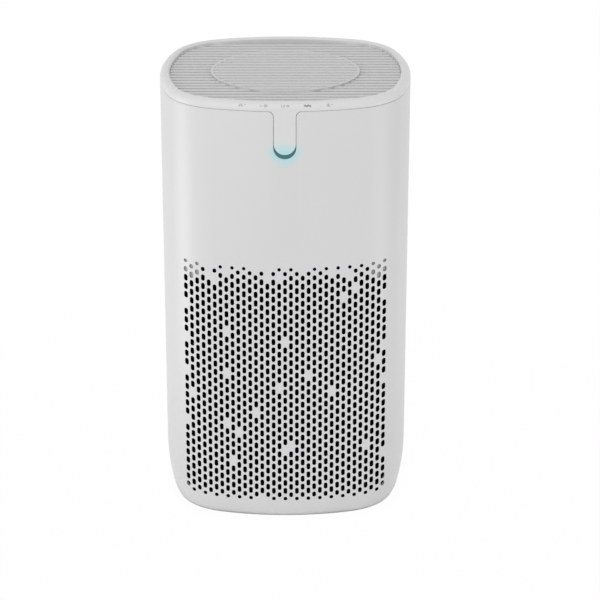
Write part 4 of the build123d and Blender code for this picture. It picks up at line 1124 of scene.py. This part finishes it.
@dataclass
class Studio:
    """White studio: a round table top, even ambient light, soft lamps and the camera of the photo's view.

    The strip lamps stand beside the table and reach below its top, where the upright walls mirror them. Its
    sizes are metres.
    """

    ambient: float = 0.68
    floor_half: float = 0.8
    floor_fade: Point = (0.30, 0.60)
    floor_white: float = 0.985
    # half widths over which the painted contact shadow on the floor fades out
    painted_shadow_edge: Point = (0.095, 0.103)
    base_edge: Point = (0.083, 0.089)
    base_light: float = 0.6
    paper: str = "#fafafa"
    # the paper colour of the painted contact shadow
    painted_shadow_paper: str = "#404040"
    camera_place: Place = (0.01233, -2.45577, 1.06078)
    camera_pitch: float = 0.35057
    lens: float = 182.054
    lamps: tuple[SoftBox, ...] = (
        SoftBox("key", (-1.27, -2.72, 1.2), (0.0, 0.0, 0.2), (2.0, 2.0), 18.6),
        SoftBox("top_front", (0.0, -1.2, 2.2), (0.0, 0.0, 0.2), (2.0, 2.0), 6.0),
        SoftBox("left_strip", (-1.58, 0.11, -0.18), (-0.09, -0.08, 0.2), (0.7, 0.7), 4.4),
        SoftBox("right_strip", (1.57, -0.29, -0.20), (0.08, -0.08, 0.2), (0.7, 0.7), 2.5),
    )

    @staticmethod
    def shown_white(tree: Tree) -> Socket:
        """Picks the rays that show the background: to the camera, in gloss and through glass.

        Args:
            tree: The node tree that gets the nodes.

        Returns:
            1 for such a ray and 0 for any other.
        """
        path = add_node(tree, "ShaderNodeLightPath")
        rays = [path.outputs[f"Is {kind} Ray"] for kind in ("Camera", "Glossy", "Transmission")]
        first = add_node(tree, "ShaderNodeMath", {0: rays[0], 1: rays[1]}, operation="MAXIMUM")
        return add_node(
            tree, "ShaderNodeMath", {0: first.outputs[0], 1: rays[2]}, operation="MAXIMUM"
        ).outputs[0]

    def build_world(self) -> None:
        """Makes the even white surround: white where it is seen, and the ambient level as light."""
        world = bpy.data.worlds.new("white_studio")
        world.use_nodes = True
        tree = world.node_tree
        tree.nodes.clear()
        level = add_node(tree, "ShaderNodeMapRange", {
            "Value": self.shown_white(tree), "To Min": self.ambient, "To Max": 1.0,
        })
        light = add_node(tree, "ShaderNodeBackground", {
            "Color": (1.0, 1.0, 1.0, 1.0), "Strength": level.outputs[0],
        })
        add_node(tree, "ShaderNodeOutputWorld", {"Surface": light.outputs[0]})
        bpy.context.scene.world = world

    @staticmethod
    def outside_square(tree: Tree, coords: Socket, edge: Point) -> Socket:
        """Draws a soft rounded square on the floor.

        Args:
            tree: The node tree that gets the nodes.
            coords: The place on the floor, in metres.
            edge: The half widths at which the change begins and ends.

        Returns:
            0 inside the square and 1 outside it.
        """
        parts = add_node(tree, "ShaderNodeSeparateXYZ", {0: coords})
        cubes = []
        for direction in ("X", "Y"):
            size = add_node(tree, "ShaderNodeMath", {0: parts.outputs[direction]}, operation="ABSOLUTE")
            cubes.append(add_node(tree, "ShaderNodeMath", {0: size.outputs[0], 1: 3.0}, operation="POWER"))
        total = add_node(
            tree, "ShaderNodeMath", {0: cubes[0].outputs[0], 1: cubes[1].outputs[0]}, operation="ADD"
        )
        # the cube root gives rounded squares close to the tower's plan
        square = add_node(tree, "ShaderNodeMath", {0: total.outputs[0], 1: 1 / 3}, operation="POWER")
        return add_node(tree, "ShaderNodeMapRange", {
            "Value": square.outputs[0], "From Min": edge[0], "From Max": edge[1],
        }, interpolation_type="SMOOTHSTEP").outputs[0]

    def build_floor(self) -> None:
        """Makes the pale table top, which shows white with a faint shadow, fades out and hides nothing below.

        It has a painted contact shadow round the foot, and is lit under the base so that the underside shows.
        """
        half = self.floor_half / MM
        corners = [Vector((x * half, y * half, 0.0)) for x, y in ((-1, -1), (1, -1), (1, 1), (-1, 1))]
        floor = new_object("floor", corners, [(0, 1, 2, 3)])
        material = bpy.data.materials.new("white_paper_sweep")
        material.use_nodes = True
        tree = material.node_tree
        tree.nodes.clear()
        coords = add_node(tree, "ShaderNodeTexCoord").outputs["Object"]
        # painted shadow: round the foot the paper turns dark, and gloss sees it there instead of white
        beside = self.outside_square(tree, coords, self.painted_shadow_edge)
        camera = add_node(tree, "ShaderNodeLightPath").outputs["Is Camera Ray"]
        open_floor = add_node(tree, "ShaderNodeMath", {0: camera, 1: beside}, operation="MAXIMUM")
        shown = self.shown_white(tree)
        white_rays = add_node(
            tree, "ShaderNodeMath", {0: shown, 1: open_floor.outputs[0]}, operation="MULTIPLY"
        )
        whole = add_node(
            tree, "ShaderNodeMath", {0: white_rays.outputs[0], 1: self.floor_white}, operation="MULTIPLY"
        )
        base = add_node(tree, "ShaderNodeMapRange", {
            "Value": self.outside_square(tree, coords, self.base_edge),
            "To Min": self.base_light,
            "To Max": 0.0,
        })
        share = add_node(
            tree, "ShaderNodeMath", {0: whole.outputs[0], 1: base.outputs[0]}, operation="MAXIMUM"
        )
        tones = {0: beside, 6: linear(self.painted_shadow_paper), 7: linear(self.paper)}
        tone = add_node(tree, "ShaderNodeMix", tones, data_type="RGBA").outputs[2]
        paper = add_node(tree, "ShaderNodeBsdfDiffuse", {"Color": tone})
        white = add_node(tree, "ShaderNodeEmission", {"Color": (1.0, 1.0, 1.0, 1.0)})
        lit = add_node(
            tree, "ShaderNodeMixShader", {0: share.outputs[0], 1: paper.outputs[0], 2: white.outputs[0]}
        )
        under = add_node(tree, "ShaderNodeNewGeometry").outputs["Backfacing"]
        reach = add_node(tree, "ShaderNodeVectorMath", {0: coords}, operation="LENGTH").outputs["Value"]
        edge = add_node(tree, "ShaderNodeMapRange", {
            "Value": reach, "From Min": self.floor_fade[0], "From Max": self.floor_fade[1],
        }, interpolation_type="SMOOTHSTEP")
        gone = add_node(tree, "ShaderNodeMath", {0: under, 1: edge.outputs[0]}, operation="MAXIMUM")
        clear = add_node(tree, "ShaderNodeBsdfTransparent")
        both = add_node(
            tree, "ShaderNodeMixShader", {0: gone.outputs[0], 1: lit.outputs[0], 2: clear.outputs[0]}
        )
        add_node(tree, "ShaderNodeOutputMaterial", {"Surface": both.outputs[0]})
        floor.data.materials.append(material)

    def build_camera(self) -> None:
        """Makes the camera, which looks down at the front."""
        data = bpy.data.cameras.new("photo_camera")
        data.lens = self.lens
        data.clip_end = 50.0
        camera = bpy.data.objects.new("photo_camera", data)
        camera.location = self.camera_place
        camera.rotation_euler = (math.pi / 2 - self.camera_pitch, 0.0, 0.0)
        bpy.context.scene.collection.objects.link(camera)
        bpy.context.scene.camera = camera

    def build(self) -> None:
        """Makes the whole studio."""
        bpy.context.scene.view_settings.view_transform = "Standard"
        self.build_world()
        self.build_floor()
        self.build_camera()
        for lamp in self.lamps:
            lamp.build()


def dress_nodes(frame: dict, materials: dict[str, Material]) -> None:
    """Gives every CAD node the finish of its slot.

    Args:
        frame: The loaded frame.
        materials: The finished materials by slot name.
    """
    for row in frame["record"]["subparts"]:
        mesh = frame["nodes"][row["node"]].data
        mesh.materials.clear()
        mesh.materials.append(materials[row["material_slot"]])
        LOG.info("dressed %s in %s", row["node"], row["material_slot"])


def main() -> None:
    """Builds the dressed purifier and its studio."""
    logging.basicConfig(level=logging.INFO, format="%(message)s")
    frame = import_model()
    materials = {slot: finish.build() for slot, finish in FINISHES.items()}
    dress_nodes(frame, materials)
    plan = TowerPlan()
    face = materials["white_shell"]
    shells = Shells(plan, WallProfile(), Perforation(), TongueNotch(), face, SHADED_POCKET.build())
    for side in Side:
        shell = shells.build(side)
        LOG.info("built %s with %d faces", shell.name, len(shell.data.polygons))
    light_ink = INK.build()
    dark_ink = DARK_INK.build()
    marks = KeyMarks(plan)
    for mark in Mark:
        ink = dark_ink if mark is Mark.AIR else light_ink
        LOG.info("built %s", marks.build(mark, ink).name)
    Studio().build()


if __name__ == "__main__":
    main()
